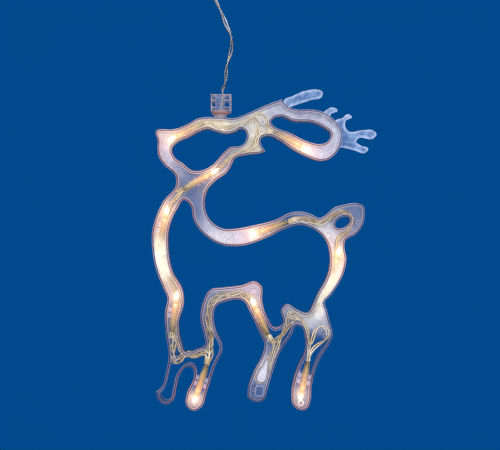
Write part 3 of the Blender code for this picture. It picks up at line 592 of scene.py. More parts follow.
def glow_at(points, reach):
    """How brightly the bulbs light each point (x, z), from 0 to 1, fading over the reach."""
    p = np.array(points, float).reshape(-1, 2)
    total = np.zeros(len(p))
    for lamp in LAMPS:
        matrix = lamp_matrix(lamp)
        ends = [matrix @ Vector((0, 0, h)) for h in (32, 37)]
        a, b = (np.array((e.x, e.z)) for e in ends)
        d = b - a
        t = np.clip(((p - a) @ d) / (d @ d), 0, 1)
        away = np.sqrt(((p - a - t[:, None] * d) ** 2).sum(1))
        total += np.exp(-away / reach)
    return np.clip(total, 0, 1)


def lamp_lit_milk_at(points):
    """How milky, and how warm, the lamps' light makes the plastic look at each point (x, z), as painted
    light. Milk over 1 hides what lies behind the front."""
    p = np.array(points, float).reshape(-1, 2)
    weight = np.full(len(p), 0.02)
    milk, warm = np.zeros(len(p)), np.zeros(len(p))
    for x, z, m, w in LAMP_LIT_MILK_SPOTS:
        near = np.exp(-((p[:, 0] - x) ** 2 + (p[:, 1] - z) ** 2) / 64)
        weight += near
        milk += near * m
        warm += near * w
    return milk / weight, warm / weight


def set_attribute(mesh, name, values):
    attribute = mesh.attributes.new(name, "FLOAT", "POINT")
    attribute.data.foreach_set("value", np.asarray(values, np.float32))


def front_places(mesh):
    """Each vertex's (x, z) in the reindeer's frame."""
    return [(v.co.x / MM - ORIGIN.x, v.co.z / MM - ORIGIN.z) for v in mesh.vertices]


def paint(mesh, edge=None):
    """The light that each point of a mesh in the world takes up, as attributes."""
    places = front_places(mesh)
    milk, warm = lamp_lit_milk_at(places)
    set_attribute(mesh, "glow", glow_at(places, GLOW_REACH))
    set_attribute(mesh, "haze", glow_at(places, HAZE_REACH))
    set_attribute(mesh, "milk", milk)
    set_attribute(mesh, "warm", warm)
    if edge is not None:
        set_attribute(mesh, "edge", edge)


def paint_middle_highlight(mesh):
    """The lamp-lit milky look fades towards the channel's edges, which leaves a painted highlight along the channel's
    middle.
    """
    places = front_places(mesh)
    depth = np.min([distance_to(places, loop) for loop in LOOPS], axis=0)
    milk = np.empty(len(places), np.float32)
    mesh.attributes["milk"].data.foreach_get("value", milk)
    milk *= np.clip((depth + 0.4) / 3.2, 0.4, 1.0)
    mesh.attributes["milk"].data.foreach_set("value", milk)


def shade_smooth(mesh, angle):
    """Smooth shading, with edges sharper than the angle kept sharp."""
    mesh.polygons.foreach_set("use_smooth", [True] * len(mesh.polygons))
    mesh.set_sharp_from_angle(angle=math.radians(angle))


def placed(name, mesh, mat, body, angle=None):
    """The mesh as an object that rides on a body."""
    mesh.materials.append(mat)
    if angle is not None:
        shade_smooth(mesh, angle)
    obj = bpy.data.objects.new(name, mesh)
    bpy.context.scene.collection.objects.link(obj)
    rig.ride(obj, body)
    return obj


def mesh_object(name, points, faces, mat, body, angle=None):
    mesh = bpy.data.meshes.new(name)
    mesh.from_pydata([tuple(p) for p in points], [], faces)
    return placed(name, mesh, mat, body, angle)


def mesh_from(bm, name):
    mesh = bpy.data.meshes.new(name)
    bm.to_mesh(mesh)
    bm.free()
    return mesh


def face_outwards(mesh, weld=False):
    bm = bmesh.new()
    bm.from_mesh(mesh)
    if weld:
        bmesh.ops.remove_doubles(bm, verts=bm.verts, dist=WELD)
    bmesh.ops.recalc_face_normals(bm, faces=bm.faces)
    bm.to_mesh(mesh)
    bm.free()


def stand_in(obj, slot, *nodes):
    """The object takes the place of CAD nodes, with their material slot."""
    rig.replaces(obj, *nodes)
    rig.slot(obj, slot)


def add_face(bm, corners):
    """A face, unless corners coincide or it is there already."""
    if len(set(corners)) == len(corners):
        try:
            bm.faces.new(corners)
        except ValueError:
            pass


def join_rings(bm, old, new):
    count = len(old)
    for i in range(count):
        add_face(bm, (old[i], old[(i + 1) % count], new[(i + 1) % count], new[i]))


def shell_half(name, skins, mat):
    """One half of the channel. Each skin is its rings, (inset, y, edge), from the mouth to the
    face; the edge paints highlight lines near 0.9 and shade on the walls near 0.2 to 0.5. The two
    skins are joined round the mouth, so the half is one closed solid."""
    bm = bmesh.new()
    edge_layer = bm.verts.layers.float.new("edge")
    mouths = []
    for rings in skins:
        last = None
        for distance, y, edge in rings:
            ring = []
            for loop in channel_loops(distance):
                ring.append([bm.verts.new(at(p.x, y, p.y)) for p in loop])
            if last is None:
                mouths.append(ring)
            else:
                for old, new in zip(last, ring):
                    join_rings(bm, old, new)
            last = ring
            for loop in ring:
                for vert in loop:
                    vert[edge_layer] = edge
        distance, y, _ = rings[-1]
        places, triangles, order, border = plate(channel_loops(distance), FACE_SPACING)
        flat = [v for loop in last for v in loop]
        verts = []
        for i, place in enumerate(places):
            if order[i] is not None and order[i] < border:
                verts.append(flat[order[i]])
            else:
                verts.append(bm.verts.new(at(place.x, y, place.y)))
        for corners in triangles:
            add_face(bm, tuple(verts[i] for i in corners))
    for old, new in zip(*mouths):
        join_rings(bm, old, new)
    bmesh.ops.remove_doubles(bm, verts=bm.verts, dist=WELD)
    bmesh.ops.dissolve_degenerate(bm, edges=bm.edges, dist=WELD / 2)
    bmesh.ops.recalc_face_normals(bm, faces=bm.faces)
    mesh = mesh_from(bm, name)
    paint(mesh)
    paint_middle_highlight(mesh)
    return placed(name, mesh, mat, "reindeer", 50)


# Materials.


class Nodes:
    """A material whose nodes are added one line each."""

    def __init__(self, name):
        self.mat = bpy.data.materials.new(name)
        self.mat.use_nodes = True
        self.tree = self.mat.node_tree
        self.shader = self.tree.nodes.get("Principled BSDF")

    def add(self, kind, links=None, values=None, **settings):
        node = self.tree.nodes.new("ShaderNode" + kind)
        for key, value in settings.items():
            setattr(node, key, value)
        for key, value in (values or {}).items():
            node.inputs[key].default_value = value
        for key, source in (links or {}).items():
            self.tree.links.new(source, node.inputs[key])
        return node

    def link(self, source, socket):
        """Links to a socket, or to the shader's socket of that name."""
        if isinstance(socket, str):
            socket = self.shader.inputs[socket]
        self.tree.links.new(source, socket)

    def set(self, **values):
        for key, value in values.items():
            self.shader.inputs[key.replace("_", " ")].default_value = value

    def coords(self):
        return self.add("TexCoord").outputs["Object"]

    def noise(self, scale, detail=3, roughness=0.55, vector=None):
        vector = vector or self.coords()
        values = {"Scale": scale, "Detail": detail, "Roughness": roughness}
        return self.add("TexNoise", {"Vector": vector}, values).outputs["Fac"]

    def ramp(self, source, stops):
        node = self.add("ValToRGB", {"Fac": source})
        elements = node.color_ramp.elements
        while len(elements) < len(stops):
            elements.new(0.5)
        for element, (place, colour) in zip(elements, stops):
            element.position = place
            element.color = (*colour, 1)
        return node.outputs["Color"]

    def range(self, source, low, high, to_low, to_high):
        values = {"From Min": low, "From Max": high, "To Min": to_low, "To Max": to_high}
        return self.add("MapRange", {"Value": source}, values).outputs["Result"]

    def maths(self, operation, a, b):
        node = self.add("Math", operation=operation)
        for socket, value in zip(node.inputs, (a, b)):
            if isinstance(value, (int, float)):
                socket.default_value = value
            else:
                self.link(value, socket)
        return node.outputs["Value"]

    def plus(self, a, b):
        return self.maths("ADD", a, b)

    def times(self, a, b):
        return self.maths("MULTIPLY", a, b)

    def power(self, a, b):
        return self.maths("POWER", a, b)

    def mix(self, share, a, b):
        node = self.add("Mix", data_type="RGBA")
        for key, value in (("Factor_Float", share), ("A_Color", a), ("B_Color", b)):
            socket = next(i for i in node.inputs if i.identifier == key)
            if isinstance(value, tuple):
                socket.default_value = (*value, 1)
            else:
                self.link(value, socket)
        return next(o for o in node.outputs if o.identifier == "Result_Color")

    def colour(self, colour):
        """The shader's own colour, and the one it gives off."""
        self.link(colour, "Base Color")
        self.link(colour, "Emission Color")

    def rough(self, cloud, low, high):
        self.link(self.range(cloud, 0.3, 0.7, low, high), "Roughness")

    def attribute(self, name):
        return self.add("Attribute", attribute_name=name).outputs["Fac"]

    def bump(self, height, strength, distance):
        values = {"Strength": strength, "Distance": distance}
        node = self.add("Bump", {"Height": height}, values)
        self.link(node.outputs["Normal"], "Normal")


# Colours of the painted highlight lines along the edges, from far from the bulbs to near them, where they take on the
# lamps' light.
EDGE_HIGHLIGHT_TINTS = [(0.0, (0.68, 0.71, 0.84)), (0.14, (0.74, 0.66, 0.76)), (0.26, (0.88, 0.58, 0.60)),
              (0.40, (1.0, 0.50, 0.34)), (0.8, (1.0, 0.62, 0.40))]
POST_HIGHLIGHT_TINTS = [(0.0, (0.66, 0.68, 0.80)), (0.5, (0.76, 0.68, 0.80)), (1.0, (1.0, 0.80, 0.70))]


def clear_plastic(name, flat, edge, milk, cover, highlight_tints):
    """Clear moulded plastic: how solid it looks on its flats, edges and milky places. Where the
    milk is over 1, the cover hides what lies behind. The milky places take painted lamp light, as
    glow and cream; the edges take painted highlight lines and painted shade beside them."""
    n = Nodes(name)
    rim, glow, haze = n.attribute("edge"), n.attribute("glow"), n.attribute("haze")
    lit_milky, warm = n.attribute("milk"), n.attribute("warm")
    broad, fine = n.noise(150, 3), n.noise(600, 4)
    cells = n.add("TexVoronoi", {"Vector": n.coords()}, {"Scale": 420}).outputs["Distance"]
    mottle = n.plus(n.times(broad, 0.55), n.times(fine, 0.3))
    mottle = n.plus(mottle, n.range(cells, 0.1, 0.7, 0.03, 0.11))
    hidden = n.range(lit_milky, 1.0, 2.0, 0.0, cover)
    lit_milky = n.range(lit_milky, 0.06, 1.0, 0.0, 1.0)
    # Painted lamp light: the body turns cream where the lamps' light warms it.
    body = n.ramp(warm, [(0.0, (0.87, 0.84, 0.88)), (0.4, (0.93, 0.86, 0.72)),
                         (0.9, (0.97, 0.86, 0.58))])
    body = n.mix(n.range(lit_milky, 0.0, 0.12, 0.0, 1.0), (0.10, 0.15, 0.27), body)
    # Painted highlight lines along the edges, tinted by the lamps' light near the bulbs, and darker painted shade
    # beside them.
    line = n.ramp(haze, highlight_tints)
    is_edge_highlight = n.range(rim, 0.6, 0.95, 0.0, 1.0)
    is_edge_shade = n.times(n.range(rim, 0.1, 0.35, 0.0, 1.0),
                      n.range(rim, 0.55, 0.85, 1.0, 0.0))
    colour = n.mix(is_edge_shade, body, (0.07, 0.045, 0.09))
    colour = n.mix(is_edge_highlight, colour, line)
    n.link(colour, "Base Color")
    rough = n.plus(n.range(fine, 0.3, 0.7, 0.18, 0.36), n.range(rim, 0.1, 0.6, 0.0, 0.25))
    n.link(rough, "Roughness")
    bright = n.ramp(glow, [(0.0, (0.80, 0.48, 0.50)), (0.25, (0.98, 0.60, 0.42)),
                           (0.5, (1.0, 0.74, 0.42)), (1.0, (1.0, 0.87, 0.64))])
    lit = n.mix(n.range(haze, 0.15, 0.7, 0.0, 1.0), colour, bright)
    n.link(lit, "Emission Color")
    # The plastic gives off painted lamp light in the milky places, round the bulbs and along the highlight lines.
    power = n.times(n.power(lit_milky, 1.3), n.range(mottle, 0.38, 0.60, 0.22, 0.46))
    power = n.times(power, n.range(warm, 0, 1, 1.0, 1.2))
    power = n.plus(power, n.times(n.power(haze, 3.0), milk * 0.35))
    power = n.plus(power, n.times(glow, milk * 0.7))
    power = n.plus(power, n.times(is_edge_highlight, n.range(haze, 0, 0.5, 0.05, 0.55)))
    n.link(power, "Emission Strength")
    facing = n.add("LayerWeight", values={"Blend": 0.35}).outputs["Facing"]
    solid = n.times(lit_milky, n.range(mottle, 0.38, 0.60, milk * 0.75, milk * 1.25))
    solid = n.plus(solid, n.range(fine, 0.4, 0.75, flat * 0.3, flat * 2.2))
    solid = n.plus(solid, n.times(hidden, n.range(mottle, 0.38, 0.60, 0.65, 1.0)))
    solid = n.plus(solid, n.times(glow, milk * 0.4))
    solid = n.plus(solid, n.times(n.power(facing, 3.0), 0.15))
    solid = n.plus(solid, n.times(is_edge_shade, edge * 1.1))
    solid = n.plus(solid, n.times(is_edge_highlight, n.range(haze, 0.2, 0.8, edge, edge + 0.3)))
    n.link(n.add("Clamp", {"Value": solid}).outputs["Result"], "Alpha")
    n.bump(broad, 0.3, 0.0008)
    return n.mat


def frosted_plastic(name):
    # Painted light: the blade gives off some light, more at its rim, and its rim is painted paler as a highlight.
    n = Nodes(name)
    rim = n.attribute("edge")
    cloud = n.noise(220, 4)
    colour = n.ramp(rim, [(0.0, (0.46, 0.62, 0.86)), (0.4, (0.66, 0.77, 0.92)),
                          (1.0, (0.88, 0.90, 0.97))])
    n.colour(colour)
    n.link(n.times(n.range(rim, 0, 1, 0.10, 0.30), n.range(cloud, 0.38, 0.62, 0.5, 1.5)),
           "Emission Strength")
    n.rough(cloud, 0.4, 0.6)
    solid = n.plus(n.range(rim, 0, 1, 0.20, 0.55), n.range(cloud, 0.38, 0.62, -0.08, 0.1))
    n.link(solid, "Alpha")
    n.bump(cloud, 0.25, 0.0005)
    return n.mat


def translucent(name, colours, roughness, alpha, shine=0.0):
    """Coloured translucent plastic that shows a little of its own colour, as if lit through."""
    n = Nodes(name)
    cloud = n.noise(420, 4)
    colour = n.ramp(cloud, [(0.35, colours[0]), (0.65, colours[1])])
    n.link(colour, "Base Color")
    n.rough(cloud, roughness, roughness + 0.15)
    facing = n.add("LayerWeight", values={"Blend": 0.4}).outputs["Facing"]
    n.link(n.range(facing, 0, 1, alpha, min(1.0, alpha + 0.4)), "Alpha")
    n.link(colour, "Emission Color")
    n.set(Emission_Strength=shine)
    n.bump(cloud, 0.2, 0.0003)
    return n.mat


def lit_plastic(name, stops, power, alpha):
    """A lamp's amber plastic, brighter towards the bulb, with fine streaks along it."""
    n = Nodes(name)
    lit = n.attribute("glow")
    cloud = n.noise(700, 4)
    level = n.plus(lit, n.range(cloud, 0.3, 0.7, -0.14, 0.14))
    colour = n.ramp(level, stops)
    n.colour(colour)
    n.link(n.range(level, 0.0, 1.0, power[0], power[1]), "Emission Strength")
    n.rough(cloud, 0.15, 0.35)
    n.link(n.range(level, 0.0, 1.0, alpha[0], alpha[1]), "Alpha")
    n.bump(cloud, 0.5, 0.0004)
    return n.mat


def bulb_glass():
    n = Nodes("lit_bulb")
    lit = n.attribute("glow")
    n.set(Roughness=0.05)
    n.link(n.ramp(lit, [(0.0, (1.0, 0.62, 0.25)), (1.0, (1.0, 0.93, 0.75))]),
           "Base Color")
    n.link(n.ramp(lit, [(0.0, (1.0, 0.50, 0.16)), (0.5, (1.0, 0.74, 0.40)),
                        (1.0, (1.0, 0.95, 0.80))]), "Emission Color")
    n.link(n.range(lit, 0.0, 1.0, 0.5, 1.25), "Emission Strength")
    return n.mat


def wire_plastic(name, colours, shine):
    """Thin clear insulation over gold strands, with painted shade along its sides and painted lamp light: it gives off
    light, brighter and orange near the bulbs.
    """
    n = Nodes(name)
    haze, shade, tone = n.attribute("haze"), n.attribute("shade"), n.attribute("tone")
    fine, broad = n.noise(900, 3), n.noise(70, 2)
    level = n.plus(n.times(fine, 0.4), n.times(broad, 0.6))
    colour = n.ramp(level, [(0.36, colours[0]), (0.48, colours[1]), (0.62, colours[2])])
    colour = n.mix(n.range(haze, 0.1, 0.7, 0.0, 0.8), colour, (1.0, 0.66, 0.24))
    colour = n.mix(n.range(shade, 0.2, 0.5, 0.0, 0.95), colour, (0.045, 0.028, 0.018))
    colour = n.mix(n.times(tone, n.range(broad, 0.35, 0.65, 0.6, 0.95)), colour,
                   (0.09, 0.05, 0.02))
    n.colour(colour)
    n.link(n.range(haze, 0.0, 0.7, shine[0], shine[1]), "Emission Strength")
    n.rough(fine, 0.18, 0.34)
    n.set(Metallic=0.1, Coat_Weight=0.6, Coat_Roughness=0.08)
    n.bump(fine, 0.3, 0.0002)
    return n.mat


def plain_plastic(name, colours, roughness, scale=220):
    n = Nodes(name)
    cloud = n.noise(scale, 5)
    n.link(n.ramp(cloud, [(0.3, colours[0]), (0.7, colours[1])]), "Base Color")
    n.rough(cloud, roughness, roughness + 0.12)
    n.bump(n.noise(1400, 2), 0.08, 0.0001)
    return n.mat


def brass_metal():
    n = Nodes("brass")
    streak = n.add("Mapping", {"Vector": n.coords()}, {"Scale": (900, 900, 60)}).outputs["Vector"]
    cloud = n.noise(1.0, 4, vector=streak)
    n.link(n.ramp(cloud, [(0.3, (0.62, 0.47, 0.20)), (0.7, (0.86, 0.70, 0.38))]),
           "Base Color")
    n.rough(cloud, 0.18, 0.36)
    n.set(Metallic=1.0)
    return n.mat


CLEAR_FRONT = clear_plastic("clear_front", 0.007, 0.50, 0.11, 1.0, EDGE_HIGHLIGHT_TINTS)
CLEAR_REAR = clear_plastic("clear_rear", 0.010, 0.32, 0.70, 0.0, EDGE_HIGHLIGHT_TINTS)
FROSTED = frosted_plastic("frosted_blade")
HOLDER = lit_plastic(
    "holder_plastic",
    [(0.0, (0.16, 0.11, 0.05)), (0.15, (0.40, 0.29, 0.12)), (0.35, (0.66, 0.47, 0.20)),
     (0.6, (0.80, 0.46, 0.20)), (0.85, (0.95, 0.56, 0.24)), (1.0, (1.0, 0.70, 0.34))],
    (0.10, 0.34), (0.75, 0.95),
)
BASE = lit_plastic(
    "base_plastic",
    [(0.0, (0.80, 0.42, 0.16)), (0.5, (1.0, 0.58, 0.24)), (1.0, (1.0, 0.74, 0.38))],
    (0.25, 0.7), (0.85, 1.0),
)
BULB = bulb_glass()
WIRE = wire_plastic(
    "gold_wire", ((0.32, 0.21, 0.10), (0.76, 0.58, 0.33), (1.0, 0.87, 0.63)), (0.42, 0.6)
)
TAIL_WIRE = wire_plastic(
    "tail_wire", ((0.20, 0.11, 0.04), (0.62, 0.38, 0.15), (1.0, 0.72, 0.40)), (0.35, 0.6)
)
LEAD = wire_plastic(
    "lead_wire", ((0.10, 0.08, 0.05), (0.42, 0.37, 0.25), (0.84, 0.80, 0.64)), (0.02, 0.1)
)
HUB = translucent("hub_plastic", ((0.34, 0.36, 0.46), (0.58, 0.58, 0.68)), 0.12, 0.20, 0.06)
HUB_RIB = translucent("hub_ribs", ((0.40, 0.24, 0.20), (0.80, 0.58, 0.50)), 0.12, 0.6, 0.08)
COLLAR = lit_plastic(
    "collar_plastic", [(0.3, (0.70, 0.60, 0.62)), (0.7, (0.56, 0.24, 0.12))],
    (0.05, 0.12), (0.4, 0.75),
)
CUP = translucent("cup_vinyl", ((0.82, 0.86, 0.90), (0.90, 0.93, 0.96)), 0.12, 0.3)
HOOK = translucent("hook_plastic", ((0.84, 0.86, 0.90), (0.92, 0.94, 0.96)), 0.15, 0.5)
POCKET = translucent("pocket_floor", ((0.70, 0.67, 0.70), (0.94, 0.92, 0.93)), 0.15, 0.7, 0.18)
PLUG = plain_plastic("plug_plastic", ((0.62, 0.62, 0.58), (0.70, 0.70, 0.66)), 0.28)
TIE = plain_plastic("tie_plastic", ((0.62, 0.62, 0.60), (0.72, 0.72, 0.70)), 0.35)
FUSE = plain_plastic("fuse_glass", ((0.80, 0.84, 0.82), (0.90, 0.93, 0.92)), 0.1)
BRASS = brass_metal()
FLOOR = plain_plastic("pale_floor", ((0.78, 0.80, 0.83), (0.82, 0.84, 0.87)), 0.6, 3)


# The camera, and the lead.


def make_camera():
    data = bpy.data.cameras.new("camera")
    data.lens = 50
    data.sensor_width = 36
    camera = bpy.data.objects.new("camera", data)
    camera.location = at(30, -702, -108)
    camera.rotation_euler = (math.pi / 2, 0, 0)
    bpy.context.scene.collection.objects.link(camera)
    bpy.context.scene.camera = camera


def tangents_of(points):
    tangents = np.gradient(points, axis=0)
    return tangents / np.linalg.norm(tangents, axis=1)[:, None]


def frames_along(points, start):
    """Each point of a line with its tangent and two ways across it, without twist."""
    tangents = tangents_of(points)
    normal = np.cross(tangents[0], start)
    for point, tangent in zip(points, tangents):
        normal = normal - tangent * (normal @ tangent)
        normal /= np.linalg.norm(normal)
        yield point, tangent, normal, np.cross(tangent, normal)


def add_ring(centre, axes, radius, sides, verts, shade):
    """A ring of points round a strand, and how much each faces sideways, from 0 to 1."""
    tangent, normal, across = axes
    side = np.cross(tangent, (0, 1, 0))
    ring = []
    for k in range(sides):
        a = 2 * math.pi * k / sides
        way = normal * math.cos(a) + across * math.sin(a)
        ring.append(len(verts))
        verts.append(at(*(centre + way * radius)))
        shade.append(abs(float(way @ side)) ** 2)
    return ring


def skin_rings(rings, sides):
    """The faces of a capped tube through its rings."""
    faces = [(a[k], a[(k + 1) % sides], b[(k + 1) % sides], b[k])
             for a, b in zip(rings, rings[1:]) for k in range(sides)]
    return faces + [tuple(reversed(rings[0])), tuple(rings[-1])]


def resample(points, step):
    """Points the same distance apart along a line."""
    p = np.array([tuple(q) for q in points])
    lengths = np.concatenate([[0], np.cumsum(np.linalg.norm(np.diff(p, axis=0), axis=1))])
    count = max(2, round(lengths[-1] / step) + 1)
    wanted = np.linspace(0, lengths[-1], count)
    return np.stack([np.interp(wanted, lengths, p[:, k]) for k in range(3)], axis=1)


def coil_point(turn):
    """The centreline in the coil, this many turns from where the lead joins it."""
    place = min(turn, COIL_TURNS - 1.001)
    whole = int(place)
    share = min(1.0, max(0.0, (place - whole - 0.55) / 0.45))
    share = share * share * (3 - 2 * share)
    (r0, a0), (r1, a1) = COIL_PLACES[whole], COIL_PLACES[min(whole + 1, COIL_TURNS - 1)]
    r, angle = r0 + (r1 - r0) * share, math.radians(a0 + (a1 - a0) * share)
    round_angle = math.radians(COIL_START - 360 * turn)
    radius = COIL_MID_R + r * math.cos(angle)
    cx, cy, cz = COIL_CENTRE
    return Vector((cx + radius * math.cos(round_angle), cy + r * math.sin(angle),
                   cz + radius * math.sin(round_angle)))


def lead_line():
    """The pair's centreline, in the reindeer's frame, from the hub to the plug."""
    rise = [(x, y, z) for x, z, y in LEAD_ROUTE[:-1]]
    rise += [(-8.2, -2.5, 126.9), (-10.2, -2.5, 130.4)]
    turns = [coil_point(i / 40) for i in range(2, int(COIL_END_TURNS * 40))]
    first = smooth([Vector(p) for p in rise] + turns[:1], math.radians(6))
    fall = [Vector((x, y, z)) for x, z, y in TAIL_ROUTE]
    last = smooth(turns[-1:] + fall[1:], math.radians(6))
    return first[:-1] + turns + last[1:]


def twisted_pair(name, line, mat):
    """Two strands round a centreline, as one mesh. They part and meet along the part in view."""
    points = resample(line, 1.1)
    verts, shade = [], []
    along = 0.0
    rings = ([], [])
    for i, (point, tangent, normal, across) in enumerate(frames_along(points, (0, 1, 0))):
        if i:
            along += float(np.linalg.norm(point - points[i - 1]))
        opened = sum(math.exp(-((along - s) / w) ** 2) * a for s, w, a in PAIR_EYES)
        apart = PAIR_CLOSE + opened
        halves = float(np.interp(along, PAIR_CROSSINGS, range(len(PAIR_CROSSINGS))))
        halves += max(0.0, along - PAIR_CROSSINGS[-1]) / PAIR_HALF_TURN
        angle = math.pi * (halves + 0.5)
        for strand, chain in enumerate(rings):
            turn = angle + math.pi * strand
            centre = point + (normal * math.cos(turn) + across * math.sin(turn)) * apart
            chain.append(add_ring(centre, (tangent, normal, across), STRAND_R, PAIR_SIDES,
                                  verts, shade))
    faces = [face for chain in rings for face in skin_rings(chain, PAIR_SIDES)]
    obj = mesh_object(name, verts, faces, mat, "hanger", 60)
    set_attribute(obj.data, "shade", shade)
    return obj, [tuple(at(*p)) for p in points]


def make_lead():
    pair, path = twisted_pair("lead_pair", lead_line(), LEAD)
    stand_in(pair, "lead_insulation", "lead_cord", "lead_coil", "lead_tail")
    plug = ["plug_body", "plug_blade_1", "plug_blade_2", "fuse_1", "fuse_2", "fuse_door",
            "lead_tie"]
    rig.cord(pair, exit=path[0], length=LEAD_LENGTH, diameter=0.003, far_end="plug",
            stiffness="limp", lay="hanging", path=path,
            with_pieces=[frame["nodes"][n] for n in plug])


make_camera()
make_lead()


# The channel.


def make_shells():
    front = shell_half(
        "front_cover_skin",
        [
            [(0, -0.3, 0.5), (0, -2.5, 0.45), (0, -5.6, 0.5), (0.15, -6.5, 0.9), (0.7, -7.35, 0.9),
             (0.95, -7.6, 0.5), (1.9, -7.93, 0.45), (2.15, -7.95, 0.9), (2.75, -8, 0.85),
             (3.1, -8, 0)],
            [(1.4, -0.3, 0.3), (1.4, -2.5, 0.3), (1.45, -5.4, 0.3), (1.9, -6.2, 0.2),
             (2.7, -6.6, 0)],
        ],
        CLEAR_FRONT,
    )
    stand_in(front, "clear_plastic", "front_cover")
    rear = shell_half(
        "rear_shell_skin",
        [
            [(0.6, 0, 0.4), (0.6, 3, 0.4), (0.6, 6.2, 0.5), (0.8, 6.9, 0.5), (1.1, 7.4, 0.9),
             (1.6, 7.8, 0.9), (2.0, 7.9, 0.4), (2.5, 8, 0)],
            [(2.0, 0, 0.2), (2.0, 3, 0.2), (2.1, 5.4, 0.3), (2.6, 6.2, 0.1), (3.2, 6.6, 0)],
        ],
        CLEAR_REAR,
    )
    stand_in(rear, "clear_plastic", "rear_shell")


make_shells()


# The antler blades.


def blade_half(distance):
    """Half the blade's thickness: thicker in a bead along its edge."""
    return 0.85 + math.exp(-((distance - 0.7) / 0.55) ** 2) * 0.38


def make_blades():
    for number, shape in enumerate(ANTLER_BLADES, 1):
        loop = smooth(shape, TURN, True)
        rim = inset(loop, BLADE_BEVEL)
        places, triangles, order, _ = plate([rim], BLADE_SPACING)
        distances = distance_to([tuple(p) for p in places], loop)
        count = len(rim)
        verts, faces, edge = [], [], []
        for side in (-1, 1):
            start = len(verts)
            for place, distance in zip(places, distances):
                half = blade_half(distance)
                verts.append(at(place.x, BLADE_MIDDLE + side * half, place.y))
                # The edge value paints a highlight along the rim bead and a fainter highlight line further in.
                bead = math.exp(-((distance - 0.45) / 0.4) ** 2)
                edge.append(0.75 * bead + 0.4 * math.exp(-((distance - 1.9) / 0.35) ** 2))
            for a, b, c in triangles:
                tri = (start + a, start + b, start + c)
                faces.append(tri if side < 0 else tri[::-1])
        where = {old: new for new, old in enumerate(order) if old is not None}
        size = len(places)
        outer = len(verts)
        for p in loop:
            for side in (-1, 1):
                verts.append(at(p.x, BLADE_MIDDLE + side * BLADE_RIM, p.y))
                edge.append(0.8)
        for i in range(count):
            j = (i + 1) % count
            a, b = where.get(i), where.get(j)
            if a is None or b is None:
                continue
            for side, base in ((0, 0), (1, size)):
                quad = (base + a, base + b, outer + 2 * j + side, outer + 2 * i + side)
                faces.append(quad if side else quad[::-1])
            faces.append((outer + 2 * i, outer + 2 * j, outer + 2 * j + 1, outer + 2 * i + 1))
        blade = mesh_object(f"antler_blade_{number}", verts, faces, FROSTED, "reindeer")
        set_attribute(blade.data, "edge", edge)
        face_outwards(blade.data, weld=True)
        shade_smooth(blade.data, 55)
        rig.slot(blade, "clear_plastic")


make_blades()


# Turned pieces.


def turned(name, profile, mat, body, matrix, steps=32, glow=None):
    """A profile of (radius, height), turned about the matrix's Z. The glow is a function of a
    point's height and angle."""
    verts, faces, values = [], [], []
    rings = []
    for radius, height in profile:
        count = steps if radius else 1
        ring = [len(verts) + k for k in range(count)]
        rings.append(ring * (steps // count))
        for k in range(count):
            a = 2 * math.pi * k / steps
            verts.append(Vector((radius * math.cos(a), radius * math.sin(a), height)))
            values.append(glow(height, a) if glow else 0)
    for a, b in zip(rings, rings[1:]):
        for k in range(steps):
            m = (k + 1) % steps
            face = tuple(dict.fromkeys((a[k], a[m], b[m], b[k])))
            if len(face) > 2:
                faces.append(face)
    places = [at(*(matrix @ v)) for v in verts]
    obj = mesh_object(name, places, faces, mat, body, 40)
    face_outwards(obj.data)
    if glow:
        set_attribute(obj.data, "glow", values)
    return obj


HOLDER_PROFILE = [
    (0, 15), (2.5, 15), (2.5, 23.9), (2.8, 24.2), (3.1, 24.0), (3.2, 23.6), (3.2, 22.4),
    (3.0, 22.2), (3.0, 20.4), (3.2, 20.2), (3.2, 18.6), (3.0, 18.4), (3.0, 16.6), (3.2, 16.4),
    (3.2, 11), (3.05, 9.5), (2.75, 5), (2.6, 3), (2.3, 0.6), (2.0, 0.1), (1.6, 0), (0, 0),
]
BASE_PROFILE = [
    (0, 28), (2.6, 28), (2.85, 27.7), (2.85, 26.2), (3.1, 26.0), (3.2, 25.6), (3.2, 24.7),
    (3.05, 24.4), (2.2, 24.4), (2.2, 15.5), (0, 15.5),
]
BULB_PROFILE = [
    (0, 42.0), (0.25, 41.9), (0.45, 41.4), (0.7, 40.7), (1.3, 39.8), (1.9, 38.6), (2.3, 37.2),
    (2.5, 35.4), (2.5, 31), (2.4, 29.4), (2.2, 28.4), (1.9, 28.15), (0, 28.15),
]


def make_lamps():
    for number, lamp in enumerate(LAMPS, 1):
        matrix = lamp_matrix(lamp)
        kinds = (
            ("holder", HOLDER_PROFILE, HOLDER, "holder_plastic",
             lambda h, a: max(0.0, (h + 1) / 25) * 0.85 + 0.13 * math.cos(5 * a + 0.8)),
            ("base", BASE_PROFILE, BASE, "base_plastic",
             lambda h, a: 0.35 + (h - 24) / 8 + 0.15 * math.cos(4 * a)),
            ("bulb", BULB_PROFILE, BULB, "bulb_glass",
             lambda h, a: 1 - min(1.0, abs(h - GLOW_HEIGHT) / GLOW_HALF) ** 1.5),
        )
        for kind, profile, mat, slot, glow in kinds:
            piece = turned(f"lit_{kind}_{number:02d}", profile, mat, "reindeer", matrix, 24, glow)
            stand_in(piece, slot, f"lamp_{kind}_{number:02d}")


make_lamps()


# The posts that grip the lamps, and the bosses.


def bevelled_box(bm, low, high, matrix, bevel):
    size = [b - a for a, b in zip(low, high)]
    centre = [(a + b) / 2 for a, b in zip(low, high)]
    place = matrix @ Matrix.Translation(centre) @ Matrix.Diagonal((*size, 1))
    made = bmesh.ops.create_cube(bm, size=1, matrix=place)
    edges = list({e for v in made["verts"] for e in v.link_edges})
    bmesh.ops.bevel(bm, geom=edges, offset=bevel, segments=2, affect="EDGES")


